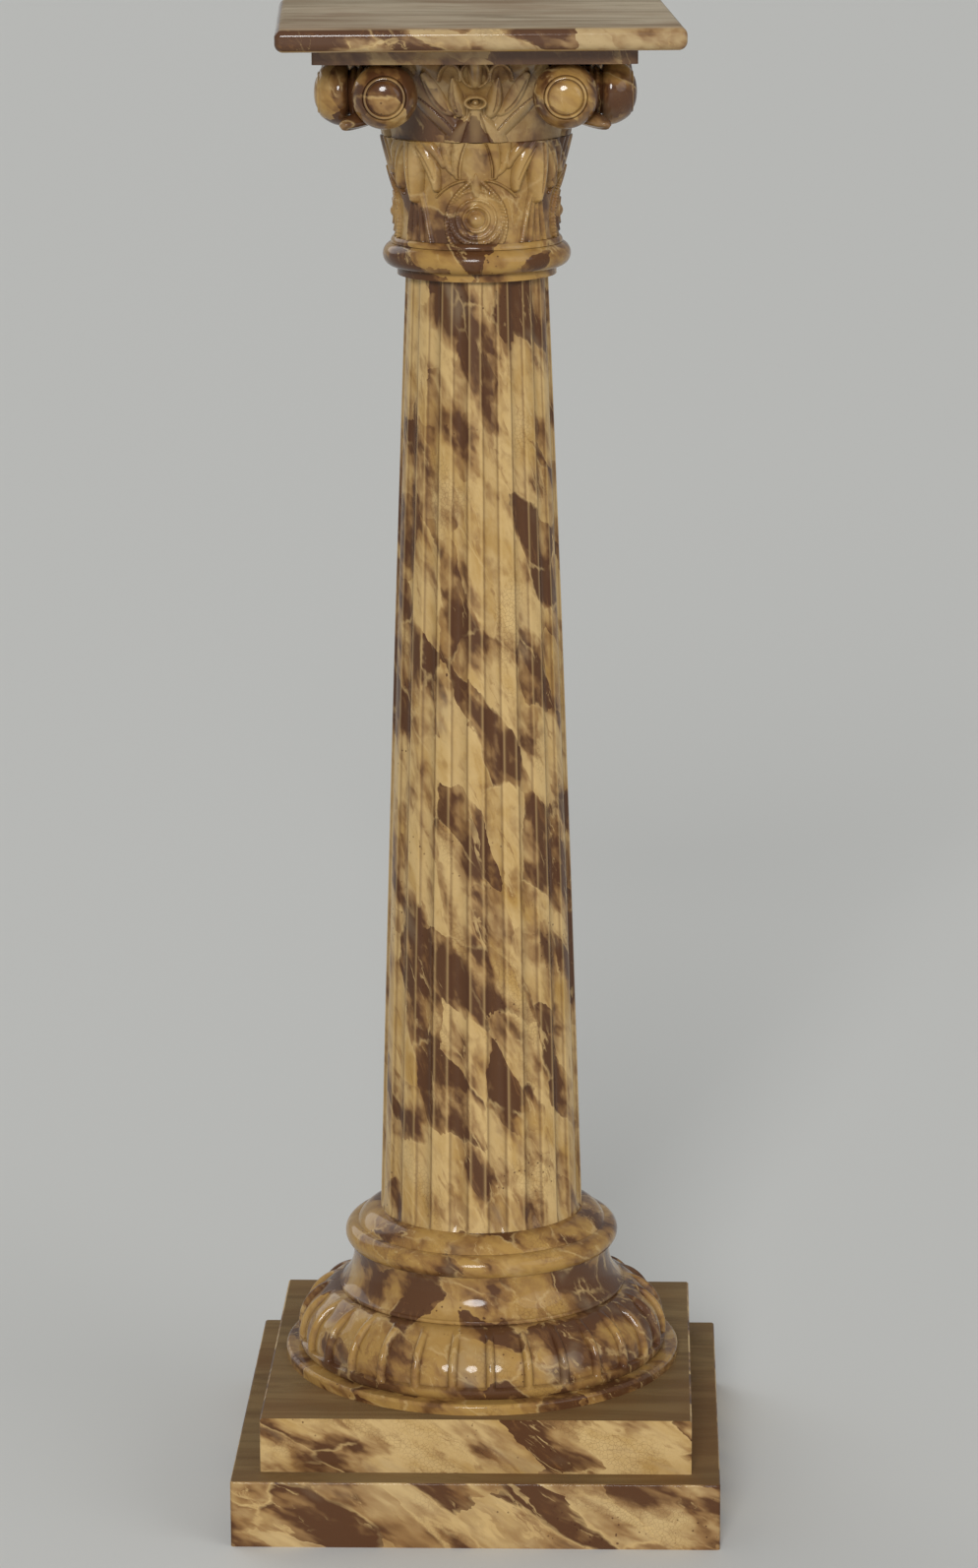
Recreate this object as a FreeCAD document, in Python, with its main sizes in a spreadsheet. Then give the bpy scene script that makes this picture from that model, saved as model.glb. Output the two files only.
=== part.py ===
import FreeCAD, Part
import math
import os
import Sketcher

# Pedestal column stand: a square stepped plinth, a gadrooned ovolo base, a fluted tapering shaft,
# a carved capital with paired scrolls at its corners and a square top slab, drawn together by one
# long rod.  Millimetres; +Z up; the origin is the middle of the underside; the front faces -Y.

Vector = FreeCAD.Vector
Rotation = FreeCAD.Rotation
UP = Vector(0, 0, 1)
doc = FreeCAD.newDocument("pedestal")

# ---------------------------------------------------------------- driving sizes
SIZES = {
    # lower plinth: four mitred rails, glue blocks and the screws that hold the board above
    "plinth_side": 345.0,
    "plinth_height": 48.5,
    "rail_width": 60.0,
    "rail_arris": 1.5,
    "rail_corner_round": 2.5,
    "block_leg": 42.0,
    "block_height": 40.0,
    "screw_spread": 75.0,
    "screw_radius": 2.5,
    "screw_head_radius": 5.0,
    "screw_head_height": 3.0,
    "screw_recess": 12.0,
    "screw_recess_radius": 6.5,
    "screw_grip": 22.0,
    "screw_point": 5.0,
    # upper plinth board
    "board_side": 305.0,
    "board_height": 39.5,
    "board_arris": 1.2,
    # flat round disc on the board
    "disc_radius": 143.3,
    "disc_height": 7.5,
    "disc_round": 2.5,
    # gadrooned ovolo with the fillet and the cove above it
    "ovolo_foot_radius": 131.5,
    "ovolo_radius": 134.3,
    "ovolo_swell_rise": 6.0,
    "ovolo_under_curve": 8.0,
    "ovolo_height": 44.8,
    "ovolo_top_radius": 104.5,
    "ovolo_curve": 34.0,
    "gadroon_count": 30.0,
    "gadroon_depth": 3.0,
    "gadroon_rib_angle": 3.6,
    "fillet_radius": 103.0,
    "fillet_height": 3.7,
    "cove_foot_radius": 102.2,
    "cove_radius": 99.3,
    "cove_curve_height": 16.0,
    "cove_band_height": 14.0,
    # foot ring under the shaft
    "roll_foot_radius": 96.2,
    "roll_top_radius": 91.5,
    "roll_height": 15.2,
    "roll_curve": 8.8,
    "slope_foot_radius": 90.0,
    "slope_height": 10.8,
    "slope_curve": 20.0,
    "slope_top_radius": 74.5,
    # fluted shaft
    "shaft_height": 679.5,
    "shaft_foot_radius": 73.2,
    "shaft_neck_radius": 49.8,
    "shaft_swell": 1.0,
    "flute_count": 16.0,
    "flute_angle": 12.4,
    "flute_depth": 2.2,
    # neck ring
    "neck_fillet_radius": 55.7,
    "neck_fillet_height": 5.5,
    "neck_roll_foot_radius": 58.0,
    "neck_roll_height": 17.0,
    "neck_roll_radius": 65.7,
    "neck_bead_radius": 60.0,
    "neck_bead_height": 4.0,
    "neck_bead_curve": 4.2,
    # bell of the capital and its ornament
    "bell_height": 70.0,
    "bell_foot_radius": 56.0,
    "bell_straight": 19.0,
    "bell_top_radius": 63.5,
    "leaf_half_width": 18.0,
    "leaf_foot_half_width": 9.0,
    "leaf_height": 66.0,
    "leaf_lip_height": 47.0,
    "leaf_proud": 2.0,
    "leaf_lip_proud": 5.5,
    "rosette_height": 18.0,
    "rosette_radius": 19.0,
    "rosette_proud": 2.5,
    "rosette_tip_height": 47.0,
    "rosette_ring_radius": 11.6,
    "rosette_ring_half_width": 1.6,
    "rosette_ring_proud": 1.4,
    "rosette_boss_radius": 8.0,
    "rosette_boss_proud": 4.0,
    "tongue_half_width": 11.0,
    "tongue_height": 22.0,
    "tongue_proud": 3.5,
    # block that carries the scrolls
    "block_rise": 57.0,
    "block_foot_radius": 62.5,
    "block_top_radius": 97.0,
    "block_face": 92.0,
    "scroll_reach": 110.0,
    "scroll_offset": 61.0,
    "scroll_radius": 22.5,
    "scroll_round": 5.0,
    "scroll_length": 22.0,
    "scroll_waist_radius": 16.0,
    "belt_radius": 18.5,
    "belt_length": 10.0,
    "belt_gap": 3.0,
    "boss_radius": 15.0,
    "boss_proud": 3.5,
    "palmette_stem_half_width": 8.0,
    "palmette_half_width": 34.0,
    "palmette_knot_rise": 27.0,
    "palmette_reach": 104.0,
    "bud_half_width": 6.0,
    "bud_half_height": 9.0,
    "bud_rise": 47.0,
    # abacus and top slab
    "abacus_side": 219.0,
    "abacus_height": 10.5,
    "abacus_arris": 1.5,
    "slab_side": 275.0,
    "slab_height": 16.0,
    "slab_edge_round": 6.0,
    "slab_corner_round": 4.0,
    "capital_turn": 1.5,
    "slab_turn": 3.4,
    # joints hidden between the pieces, and the rod
    "joint_gap": 0.2,
    "tenon_end_gap": 1.0,
    "base_tenon_radius": 32.0,
    "base_tenon_length": 14.0,
    "foot_tenon_radius": 36.0,
    "foot_tenon_length": 22.0,
    "neck_tenon_radius": 26.0,
    "neck_tenon_length": 20.0,
    "bell_tenon_radius": 30.0,
    "bell_tenon_length": 15.0,
    "rod_radius": 5.0,
    "rod_point": 1.0,
    "rod_overrun": 4.0,
    "rod_hole_radius": 6.5,
    "nut_across_corners": 19.6,
    "nut_height": 8.0,
    "washer_radius": 15.0,
    "washer_height": 2.0,
    "nut_well_radius": 17.0,
    "dowel_radius": 5.0,
    "dowel_spread": 40.0,
    "dowel_in_slab": 9.0,
    "dowel_in_block": 16.0,
}

sheet = doc.addObject("Spreadsheet::Sheet", "sizes")
for row, (alias, number) in enumerate(SIZES.items(), start=1):
    sheet.set(f"A{row}", alias)
    sheet.set(f"B{row}", str(number))
    sheet.setAlias(f"B{row}", alias)
doc.recompute()

# ---------------------------------------------------------------- levels, from the floor upwards
BOARD = "sizes.plinth_height"
DISC = f"({BOARD} + sizes.board_height)"
OVOLO = f"({DISC} + sizes.disc_height)"
FILLET = f"({OVOLO} + sizes.ovolo_height)"
COVE = f"({FILLET} + sizes.fillet_height)"
RING = f"({COVE} + sizes.cove_curve_height + sizes.cove_band_height)"
SLOPE = f"({RING} + sizes.roll_height)"
SHAFT = f"({SLOPE} + sizes.slope_height)"
NECK = f"({SHAFT} + sizes.shaft_height)"
NECK_ROLL = f"({NECK} + sizes.neck_fillet_height)"
NECK_BEAD = f"({NECK_ROLL} + sizes.neck_roll_height)"
BELL = f"({NECK_BEAD} + sizes.neck_bead_height)"
BLOCK = f"({BELL} + sizes.bell_height)"
ABACUS = f"({BLOCK} + sizes.block_rise)"
SLAB = f"({ABACUS} + sizes.abacus_height)"
ROD_FOOT = f"({BOARD} - sizes.washer_height - sizes.nut_height - sizes.rod_overrun)"
ROD_TOP = f"({ABACUS} + sizes.washer_height + sizes.nut_height)"


# ---------------------------------------------------------------- helpers
def value(expression):
    """The number that an expression on the sheet gives now."""
    number = sheet.evalExpression(str(expression))
    return float(getattr(number, "Value", number))


def bind(item, path, expression):
    """Set a property by an expression, so that it follows the sheet."""
    item.setExpression(path, str(expression))


def origin_plane(body, role):
    """One of a body's own origin planes."""
    return next(plane for plane in body.Origin.OriginFeatures if plane.Role == role)


def new_body(label):
    """An empty body whose label is the piece's name."""
    body = doc.addObject("PartDesign::Body", label)
    body.Label = label
    return body


def new_sketch(body, role, level="0"):
    """A sketch on one of the body's origin planes, lifted by the level."""
    sketch = body.newObject("Sketcher::SketchObject", f"{body.Name}_sketch")
    sketch.AttachmentSupport = (origin_plane(body, role), [""])
    sketch.MapMode = "FlatFace"
    bind(sketch, "AttachmentOffset.Base.z", level)
    return sketch


def pin(sketch, geometry, end, x, y):
    """Hold one point of a sketch at two expressions."""
    for kind, expression in (("DistanceX", x), ("DistanceY", y)):
        number = sketch.addConstraint(
            Sketcher.Constraint(kind, -1, 1, geometry, end, value(expression)))
        if value(expression) != 0.0:
            bind(sketch, f"Constraints[{number}]", expression)


def dome_radius(half_chord, rise):
    """The radius of an arc that rises so far above its chord, as an expression."""
    return f"((({half_chord})^2 + ({rise})^2) / (2 * ({rise})))"


def arc_through(start, end, radius):
    """The short arc from start to end: radius > 0 turns left on the way, radius < 0 turns right."""
    along = end - start
    half = along.Length / 2
    rise = math.sqrt(max(radius * radius - half * half, 0.0))
    left = Vector(-along.y, along.x, 0).normalize()
    centre = (start + end) / 2 + left * math.copysign(rise, radius)
    first, last = (start, end) if radius > 0 else (end, start)
    angles = [math.atan2(point.y - centre.y, point.x - centre.x) for point in (first, last)]
    circle = Part.Circle(centre, UP, abs(radius))
    return Part.ArcOfCircle(circle, angles[0], angles[1])


def closed_outline(sketch, corners):
    """Draw a closed outline, anticlockwise.  A corner is (x, y) or (x, y, radius), all
    expressions; a radius bends the edge to the next corner, outwards or, with "-", inwards."""
    points = [Vector(value(corner[0]), value(corner[1]), 0) for corner in corners]
    edges = []
    for index, corner in enumerate(corners):
        start = points[index]
        end = points[(index + 1) % len(points)]
        if len(corner) == 3:
            bend = value(corner[2])
            geometry = sketch.addGeometry(arc_through(start, end, bend))
            ends = (1, 2) if bend > 0 else (2, 1)
            number = sketch.addConstraint(Sketcher.Constraint("Radius", geometry, abs(bend)))
            bind(sketch, f"Constraints[{number}]", f"abs({corner[2]})")
        else:
            geometry = sketch.addGeometry(Part.LineSegment(start, end))
            ends = (1, 2)
        edges.append((geometry, ends))
    for index, corner in enumerate(corners):
        before, before_ends = edges[index - 1]
        here, here_ends = edges[index]
        sketch.addConstraint(
            Sketcher.Constraint("Coincident", before, before_ends[1], here, here_ends[0]))
        pin(sketch, here, here_ends[0], corner[0], corner[1])
    return sketch


def circles(sketch, centres, radius):
    """Draw equal circles at the given centres."""
    for x, y in centres:
        circle = Part.Circle(Vector(value(x), value(y), 0), UP, value(radius))
        geometry = sketch.addGeometry(circle)
        pin(sketch, geometry, 3, x, y)
        number = sketch.addConstraint(Sketcher.Constraint("Radius", geometry, value(radius)))
        bind(sketch, f"Constraints[{number}]", radius)
    return sketch


def add_revolution(body, corners):
    """Turn a profile of (radius, height) corners about the body's Z axis."""
    profile = closed_outline(new_sketch(body, "XZ_Plane"), corners)
    turned_form = body.newObject("PartDesign::Revolution", f"{body.Name}_turned")
    turned_form.Profile = profile
    turned_form.ReferenceAxis = (profile, ["V_Axis"])
    turned_form.Angle = 360
    profile.Visibility = False
    return turned_form


def turned(label, corners):
    """A piece turned on the lathe."""
    body = new_body(label)
    add_revolution(body, corners)
    return body


def add_pad(body, sketch, length):
    """Pad a sketch along its own normal."""
    pad = body.newObject("PartDesign::Pad", f"{body.Name}_pad")
    pad.Profile = sketch
    bind(pad, "Length", length)
    return pad


def add_pocket(body, sketch, depth, upwards):
    """Cut a sketch's outline out of the body, upwards or downwards from the sketch."""
    doc.recompute()
    before = body.Shape.Volume
    pocket = body.newObject("PartDesign::Pocket", f"{body.Name}_pocket")
    pocket.Profile = sketch
    pocket.Reversed = upwards
    bind(pocket, "Length", depth)
    doc.recompute()
    if not body.Shape.Volume < before:
        raise RuntimeError(f"{body.Label}: a pocket cuts nothing")
    return pocket


def dress_edges(body, kind, size, test):
    """Chamfer or fillet those edges of the body so far that pass a test."""
    doc.recompute()
    base = body.Tip
    chosen = [f"Edge{number}" for number, edge in enumerate(body.Shape.Edges, start=1)
              if test(edge.BoundBox)]
    dressed = body.newObject(f"PartDesign::{kind}", f"{body.Name}_{kind.lower()}")
    dressed.Base = (base, chosen)
    bind(dressed, "Size" if kind == "Chamfer" else "Radius", size)
    return dressed


def square_corners(half):
    """The corners of a square about the origin."""
    return [(f"-({half})", f"-({half})"), (half, f"-({half})"), (half, half), (f"-({half})", half)]


def four_points(spread):
    """Four points on the diagonals, each spread away from both planes."""
    return square_corners(spread)


def turn_about_z(item, angle):
    """Bind an object's turn about the vertical axis through the origin."""
    item.Placement = FreeCAD.Placement(Vector(0, 0, 0), Rotation(UP, 1))
    bind(item, "Placement.Rotation.Angle", angle)
    return item


def boolean(kind, name, **parts):
    """A Part boolean with its operands hidden inside it."""
    item = doc.addObject(kind, name)
    item.Label = name
    for key, operand in parts.items():
        setattr(item, key, operand)
    return item


def group(label, members):
    """Separate like solids that share one name."""
    item = doc.addObject("Part::Compound", label)
    item.Label = label
    item.Links = members
    return item


nodes = []


def keep(item):
    """Mark an object as a finished piece."""
    nodes.append(item)
    return item


# ---------------------------------------------------------------- lower plinth
MITRE_ANGLE = 45


def plinth_rail(label, turn):
    """A rail with mitred ends and rounded outer edges, bored from below for two screws into
    the board above."""
    rail = new_body(label)
    half = "sizes.plinth_side / 2"
    inner = f"({half} - sizes.rail_width)"
    straight = f"({half} - sizes.rail_corner_round)"
    mitre = f"({half} - sizes.rail_corner_round * (1 - cos({MITRE_ANGLE})))"
    trapezium = [(f"-{straight}", f"-({half})"),
                 (straight, f"-({half})", "sizes.rail_corner_round"), (mitre, f"-{mitre}"),
                 (inner, f"-{inner}"), (f"-{inner}", f"-{inner}"),
                 (f"-{mitre}", f"-{mitre}", "sizes.rail_corner_round")]
    outline = closed_outline(new_sketch(rail, "XY_Plane"), trapezium)
    add_pad(rail, outline, "sizes.plinth_height")
    dress_edges(rail, "Fillet", "sizes.rail_arris",
                lambda box: box.ZMin > value(BOARD) / 2 and box.YMax < -value(straight))
    holes = [(f"{side}sizes.screw_spread", f"-({SCREW_LINE})") for side in ("-", "")]
    shank = circles(new_sketch(rail, "XY_Plane"), holes, "sizes.screw_radius + sizes.joint_gap")
    add_pocket(rail, shank, "sizes.plinth_height", upwards=True)
    recess = circles(new_sketch(rail, "XY_Plane"), holes, "sizes.screw_recess_radius")
    add_pocket(rail, recess, "sizes.screw_recess", upwards=True)
    return keep(turn_about_z(rail, turn))


# the screws stand halfway along the board's bearing on the rail
SCREW_LINE = "(sizes.board_side / 4 + sizes.plinth_side / 4 - sizes.rail_width / 2)"
SIDES = (("front", 0), ("right", 90), ("back", 180), ("left", 270))
for side, turn in SIDES:
    plinth_rail(f"plinth_{side}_rail", turn)


def corner_block(index):
    """A three-cornered glue block standing in one inner corner of the rails."""
    block = new_body(f"corner_block_{index}")
    corner = "(sizes.plinth_side / 2 - sizes.rail_width)"
    leg = f"({corner} - sizes.block_leg)"
    outline = closed_outline(new_sketch(block, "XY_Plane", "sizes.plinth_height - sizes.block_height"),
                             [(corner, corner), (leg, corner), (corner, leg)])
    add_pad(block, outline, "sizes.block_height")
    return turn_about_z(block, 90 * index)


keep(group("plinth_corner_blocks", [corner_block(index) for index in range(4)]))


def plinth_screw(index):
    """A round-headed wood screw; its head bears on the floor of the recess in the rail."""
    head = "sizes.screw_recess - sizes.screw_head_height"
    tip = "(sizes.plinth_height + sizes.screw_grip)"
    screw = turned(f"plinth_screw_{index}", [
        ("0", head),
        ("sizes.screw_head_radius", head),
        ("sizes.screw_head_radius", "sizes.screw_recess"),
        ("sizes.screw_radius", "sizes.screw_recess"),
        ("sizes.screw_radius", f"{tip} - sizes.screw_point"),
        ("0", tip),
    ])
    along = "-sizes.screw_spread" if index % 2 else "sizes.screw_spread"
    across = f"(-1 * {SCREW_LINE})"
    quarter = index // 2
    swing = [(along, across), (f"-1 * {across}", along),
             (f"-1 * ({along})", f"-1 * {across}"), (across, f"-1 * ({along})")][quarter]
    bind(screw, "Placement.Base.x", swing[0])
    bind(screw, "Placement.Base.y", swing[1])
    return screw


keep(group("plinth_screws", [plinth_screw(index) for index in range(8)]))

# ---------------------------------------------------------------- upper plinth board
board = new_body("upper_plinth_board")
add_pad(board, closed_outline(new_sketch(board, "XY_Plane", BOARD),
                              square_corners("sizes.board_side / 2")), "sizes.board_height")
dress_edges(board, "Fillet", "sizes.board_arris", lambda box: box.ZLength > 1)
dress_edges(board, "Chamfer", "sizes.board_arris", lambda box: box.ZMin - value(BOARD) > 1)
rod_way = circles(new_sketch(board, "XY_Plane", BOARD), [("0", "0")], "sizes.rod_hole_radius")
add_pocket(board, rod_way, "sizes.board_height", upwards=True)
socket = circles(new_sketch(board, "XY_Plane", DISC), [("0", "0")],
                 "sizes.base_tenon_radius + sizes.joint_gap")
add_pocket(board, socket, "sizes.base_tenon_length + sizes.tenon_end_gap", upwards=False)
pilots = []
for side in ("-", ""):
    pilots += [(f"{side}sizes.screw_spread", f"-{SCREW_LINE}"), (f"{side}sizes.screw_spread", SCREW_LINE),
               (f"-{SCREW_LINE}", f"{side}sizes.screw_spread"), (SCREW_LINE, f"{side}sizes.screw_spread")]
add_pocket(board, circles(new_sketch(board, "XY_Plane", BOARD), pilots, "sizes.screw_radius"),
           "sizes.screw_grip", upwards=True)
keep(board)

# ---------------------------------------------------------------- round disc
disc_bore = "sizes.base_tenon_radius + sizes.joint_gap"
keep(turned("base_disc", [
    (disc_bore, DISC),
    ("sizes.disc_radius", DISC),
    ("sizes.disc_radius", f"{OVOLO} - sizes.disc_round", "sizes.disc_round"),
    ("sizes.disc_radius - sizes.disc_round", OVOLO),
    (disc_bore, OVOLO),
]))

# ---------------------------------------------------------------- gadrooned base
gadrooned = new_body("gadrooned_base")
SWELL = f"({OVOLO} + sizes.ovolo_swell_rise)"
COVE_BEND = dome_radius("sizes.cove_curve_height", "(sizes.cove_foot_radius - sizes.cove_radius)")
foot_socket = "sizes.foot_tenon_radius + sizes.joint_gap"
socket_floor = f"{RING} - sizes.foot_tenon_length - sizes.tenon_end_gap"
add_revolution(gadrooned, [
    ("sizes.rod_hole_radius", f"{DISC} - sizes.base_tenon_length"),
    ("sizes.base_tenon_radius", f"{DISC} - sizes.base_tenon_length"),
    ("sizes.base_tenon_radius", OVOLO),
    ("sizes.ovolo_foot_radius", OVOLO, "sizes.ovolo_under_curve"),
    ("sizes.ovolo_radius", SWELL, "sizes.ovolo_curve"),
    ("sizes.ovolo_top_radius", FILLET),
    ("sizes.fillet_radius", FILLET),
    ("sizes.fillet_radius", COVE),
    ("sizes.cove_foot_radius", COVE, f"-{COVE_BEND}"),
    ("sizes.cove_radius", f"{COVE} + sizes.cove_curve_height"),
    ("sizes.cove_radius", RING),
    (foot_socket, RING),
    (foot_socket, socket_floor),
    ("sizes.rod_hole_radius", socket_floor),
])
doc.recompute()
plain_volume = gadrooned.Shape.Volume
# one broad lobe is a sunk panel between two raised ribs, square at its foot and dying out above
CLEAR = "(sizes.ovolo_radius + 4 * sizes.gadroon_depth)"
lobe_profile = closed_outline(new_sketch(gadrooned, "XZ_Plane"), [
    ("sizes.ovolo_foot_radius - sizes.gadroon_depth", OVOLO),
    (CLEAR, OVOLO),
    (CLEAR, f"{FILLET} + sizes.fillet_height"),
    ("sizes.ovolo_top_radius", f"{FILLET} + sizes.fillet_height"),
    ("sizes.ovolo_top_radius", f"{FILLET} + sizes.gadroon_depth / 2", "-sizes.ovolo_curve"),
    ("sizes.ovolo_radius - sizes.gadroon_depth", SWELL, "-sizes.ovolo_under_curve"),
])
lobe = gadrooned.newObject("PartDesign::Groove", "gadroon_lobe")
lobe.Profile = lobe_profile
lobe.ReferenceAxis = (lobe_profile, ["V_Axis"])
lobe.Midplane = True
bind(lobe, "Angle", "360 / sizes.gadroon_count - sizes.gadroon_rib_angle")
doc.recompute()
lobes = gadrooned.newObject("PartDesign::PolarPattern", "gadroon_lobes")
lobes.Originals = [lobe]
lobes.Axis = (lobe_profile, ["V_Axis"])
lobes.Angle = 360
bind(lobes, "Occurrences", "sizes.gadroon_count")
gadrooned.Tip = lobes
doc.recompute()
if not gadrooned.Shape.Volume < plain_volume:
    raise RuntimeError("the gadroons cut nothing")
LOBE_TO_FRONT = 270
keep(turn_about_z(gadrooned, LOBE_TO_FRONT))

# ---------------------------------------------------------------- foot ring
keep(turned("foot_ring", [
    (foot_socket, RING),
    ("sizes.roll_foot_radius", RING, "sizes.roll_curve"),
    ("sizes.roll_top_radius", SLOPE),
    ("sizes.slope_foot_radius", SLOPE, "sizes.slope_curve"),
    ("sizes.slope_top_radius", SHAFT),
    (foot_socket, SHAFT),
]))

# ---------------------------------------------------------------- fluted shaft
shaft = new_body("fluted_shaft")
TAPER = "(sizes.shaft_foot_radius - sizes.shaft_neck_radius)"
SHAFT_BEND = dome_radius(f"(sqrt(sizes.shaft_height^2 + {TAPER}^2) / 2)", "sizes.shaft_swell")
shaft_foot = f"{RING} - sizes.foot_tenon_length"
shaft_head = f"{BELL} + sizes.neck_tenon_length"
add_revolution(shaft, [
    ("sizes.rod_hole_radius", shaft_foot),
    ("sizes.foot_tenon_radius", shaft_foot),
    ("sizes.foot_tenon_radius", SHAFT),
    ("sizes.shaft_foot_radius", SHAFT, SHAFT_BEND),
    ("sizes.shaft_neck_radius", NECK),
    ("sizes.neck_tenon_radius", NECK),
    ("sizes.neck_tenon_radius", shaft_head),
    ("sizes.rod_hole_radius", shaft_head),
])


def flute_section(radius, level):
    """The round cutter's section where the shaft has this radius: as wide as the flute's angle
    gives there and as deep, in proportion, as the flute at the foot."""
    half_width = f"({radius} * sin(sizes.flute_angle / 2))"
    depth = f"(sizes.flute_depth * {radius} / sizes.shaft_foot_radius)"
    cutter = f"(({half_width}^2 + {depth}^2) / (2 * {depth}))"
    middle = f"({radius} * cos(sizes.flute_angle / 2) - {depth} + {cutter})"
    centre = (f"{middle} * sin(180 / sizes.flute_count)", f"{middle} * cos(180 / sizes.flute_count)")
    return circles(new_sketch(shaft, "XY_Plane", level), [centre], cutter)


doc.recompute()
plain_volume = shaft.Shape.Volume
waist = "((sizes.shaft_foot_radius + sizes.shaft_neck_radius) / 2 + sizes.shaft_swell)"
sections = [flute_section("sizes.shaft_foot_radius", SHAFT),
            flute_section(waist, f"({SHAFT} + sizes.shaft_height / 2)"),
            flute_section("sizes.shaft_neck_radius", NECK)]
flute = shaft.newObject("PartDesign::SubtractiveLoft", "flute")
flute.Profile = sections[0]
flute.Sections = sections[1:]
doc.recompute()
flutes = shaft.newObject("PartDesign::PolarPattern", "flutes")
flutes.Originals = [flute]
flutes.Axis = (sections[0], ["N_Axis"])
flutes.Angle = 360
bind(flutes, "Occurrences", "sizes.flute_count")
shaft.Tip = flutes
doc.recompute()
if not shaft.Shape.Volume < plain_volume:
    raise RuntimeError("the flutes cut nothing")
keep(shaft)

# ---------------------------------------------------------------- neck ring
NECK_ROLL_BEND = dome_radius("sizes.neck_roll_height / 2",
                             "(sizes.neck_roll_radius - sizes.neck_roll_foot_radius)")
neck_socket = "sizes.neck_tenon_radius + sizes.joint_gap"
keep(turned("neck_ring", [
    (neck_socket, NECK),
    ("sizes.neck_fillet_radius", NECK),
    ("sizes.neck_fillet_radius", NECK_ROLL),
    ("sizes.neck_roll_foot_radius", NECK_ROLL, NECK_ROLL_BEND),
    ("sizes.neck_roll_foot_radius", NECK_BEAD),
    ("sizes.neck_bead_radius", NECK_BEAD, "sizes.neck_bead_curve"),
    ("sizes.bell_foot_radius + sizes.leaf_proud", BELL),
    (neck_socket, BELL),
]))

# ---------------------------------------------------------------- bell of the capital
FLARE = "(sizes.bell_height - sizes.bell_straight)"
BELL_BEND = dome_radius(FLARE, "(sizes.bell_top_radius - sizes.bell_foot_radius)")
bell_socket_top = f"{shaft_head} + sizes.tenon_end_gap"
bell = turned("capital_bell", [
    (neck_socket, BELL),
    ("sizes.bell_foot_radius", BELL),
    ("sizes.bell_foot_radius", f"{BELL} + sizes.bell_straight", f"-{BELL_BEND}"),
    ("sizes.bell_top_radius", BLOCK),
    ("sizes.bell_tenon_radius", BLOCK),
    ("sizes.bell_tenon_radius", f"{BLOCK} + sizes.bell_tenon_length"),
    ("sizes.rod_hole_radius", f"{BLOCK} + sizes.bell_tenon_length"),
    ("sizes.rod_hole_radius", bell_socket_top),
    (neck_socket, bell_socket_top),
])
# the bell is round, so its seam may stand clear of every ornament, between a face and a corner
SEAM_TURN = 23
keep(turn_about_z(bell, f"sizes.capital_turn + {SEAM_TURN}"))


def front_prism(name, corners, turn):
    """A straight prism that stands out through the front, with its outline given as (x, height),
    turned round to the side that it serves."""
    prism = new_body(name)
    outline = closed_outline(new_sketch(prism, "XZ_Plane"), corners)
    add_pad(prism, outline, "sizes.slab_side")
    return turn_about_z(prism, f"{turn} + sizes.capital_turn")


def mirrored_outline(right_half):
    """A symmetrical outline from its right half, listed upwards; a half may end on the middle."""
    left_half = []
    if right_half[-1][0] == "0":
        right_half = right_half[:-1] + [right_half[-1][:2] + right_half[-2][2:]]
    for index in range(len(right_half) - 1, -1, -1):
        x, level = right_half[index][:2]
        if x == "0":
            continue
        bend = right_half[index - 1][2:] if index else ()
        left_half.append((f"-({x})", level) + tuple(bend))
    return list(right_half) + left_half


def relief(label, outline, surface, carrier, turn, extra=()):
    """A carved ornament: the outline's prism, worked down to a turned surface and seated on the
    piece that carries it, with any round details joined on."""
    blank = front_prism(f"{label}_outline", outline, turn)
    worked = boolean("Part::Common", f"{label}_worked", Base=blank, Tool=surface)
    if extra:
        worked = boolean("Part::MultiFuse", f"{label}_joined", Shapes=[worked, *extra])
    return keep(boolean("Part::Cut", label, Base=worked, Tool=carrier))


def placed_on_front(item, level, reach, turn):
    """Stand a shape made about Z on the front, with its axis outwards, and turn it to a side."""
    swing = f"({turn} + sizes.capital_turn)"
    item.Placement = FreeCAD.Placement(Vector(0, 0, 0), Rotation(Vector(1, 0, 0), 90))
    outward = FreeCAD.Placement(Vector(0, 0, 0), Rotation(UP, value(swing))) * item.Placement
    item.Placement = outward
    bind(item, "Placement.Base.x", f"({reach}) * sin({swing})")
    bind(item, "Placement.Base.y", f"-({reach}) * cos({swing})")
    bind(item, "Placement.Base.z", level)
    return item


# four leaves on the bell's corners: a stem that widens to a hanging lip
LEAF_TOP = f"({BELL} + sizes.leaf_height)"
LIP = f"({BELL} + sizes.leaf_lip_height)"
BELL_CORE = "((sizes.bell_foot_radius + sizes.neck_tenon_radius) / 2)"
leaf_surface = turned("leaf_surface", [
    (BELL_CORE, BELL),
    ("sizes.bell_foot_radius + sizes.leaf_proud", BELL),
    ("sizes.bell_foot_radius + sizes.leaf_proud", f"{BELL} + sizes.bell_straight", "-sizes.leaf_height"),
    ("sizes.bell_top_radius + sizes.leaf_proud / 2", f"{LIP} - sizes.leaf_foot_half_width / 2"),
    ("sizes.bell_top_radius + sizes.leaf_lip_proud", LIP, "sizes.leaf_half_width"),
    ("sizes.bell_top_radius + sizes.leaf_proud / 2", LEAF_TOP),
    (BELL_CORE, LEAF_TOP),
])
leaf_outline = mirrored_outline([
    ("sizes.leaf_foot_half_width", BELL),
    ("sizes.leaf_foot_half_width", f"{BELL} + sizes.bell_straight", "-2 * sizes.leaf_half_width"),
    ("sizes.leaf_half_width", LIP, "sizes.leaf_half_width * 1.2"),
    ("sizes.leaf_foot_half_width", LEAF_TOP),
])
CORNERS = (("front_right", 45), ("back_right", 135), ("back_left", 225), ("front_left", 315))
for corner, turn in CORNERS:
    relief(f"bell_leaf_{corner}", leaf_outline, leaf_surface, bell, turn)

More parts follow.
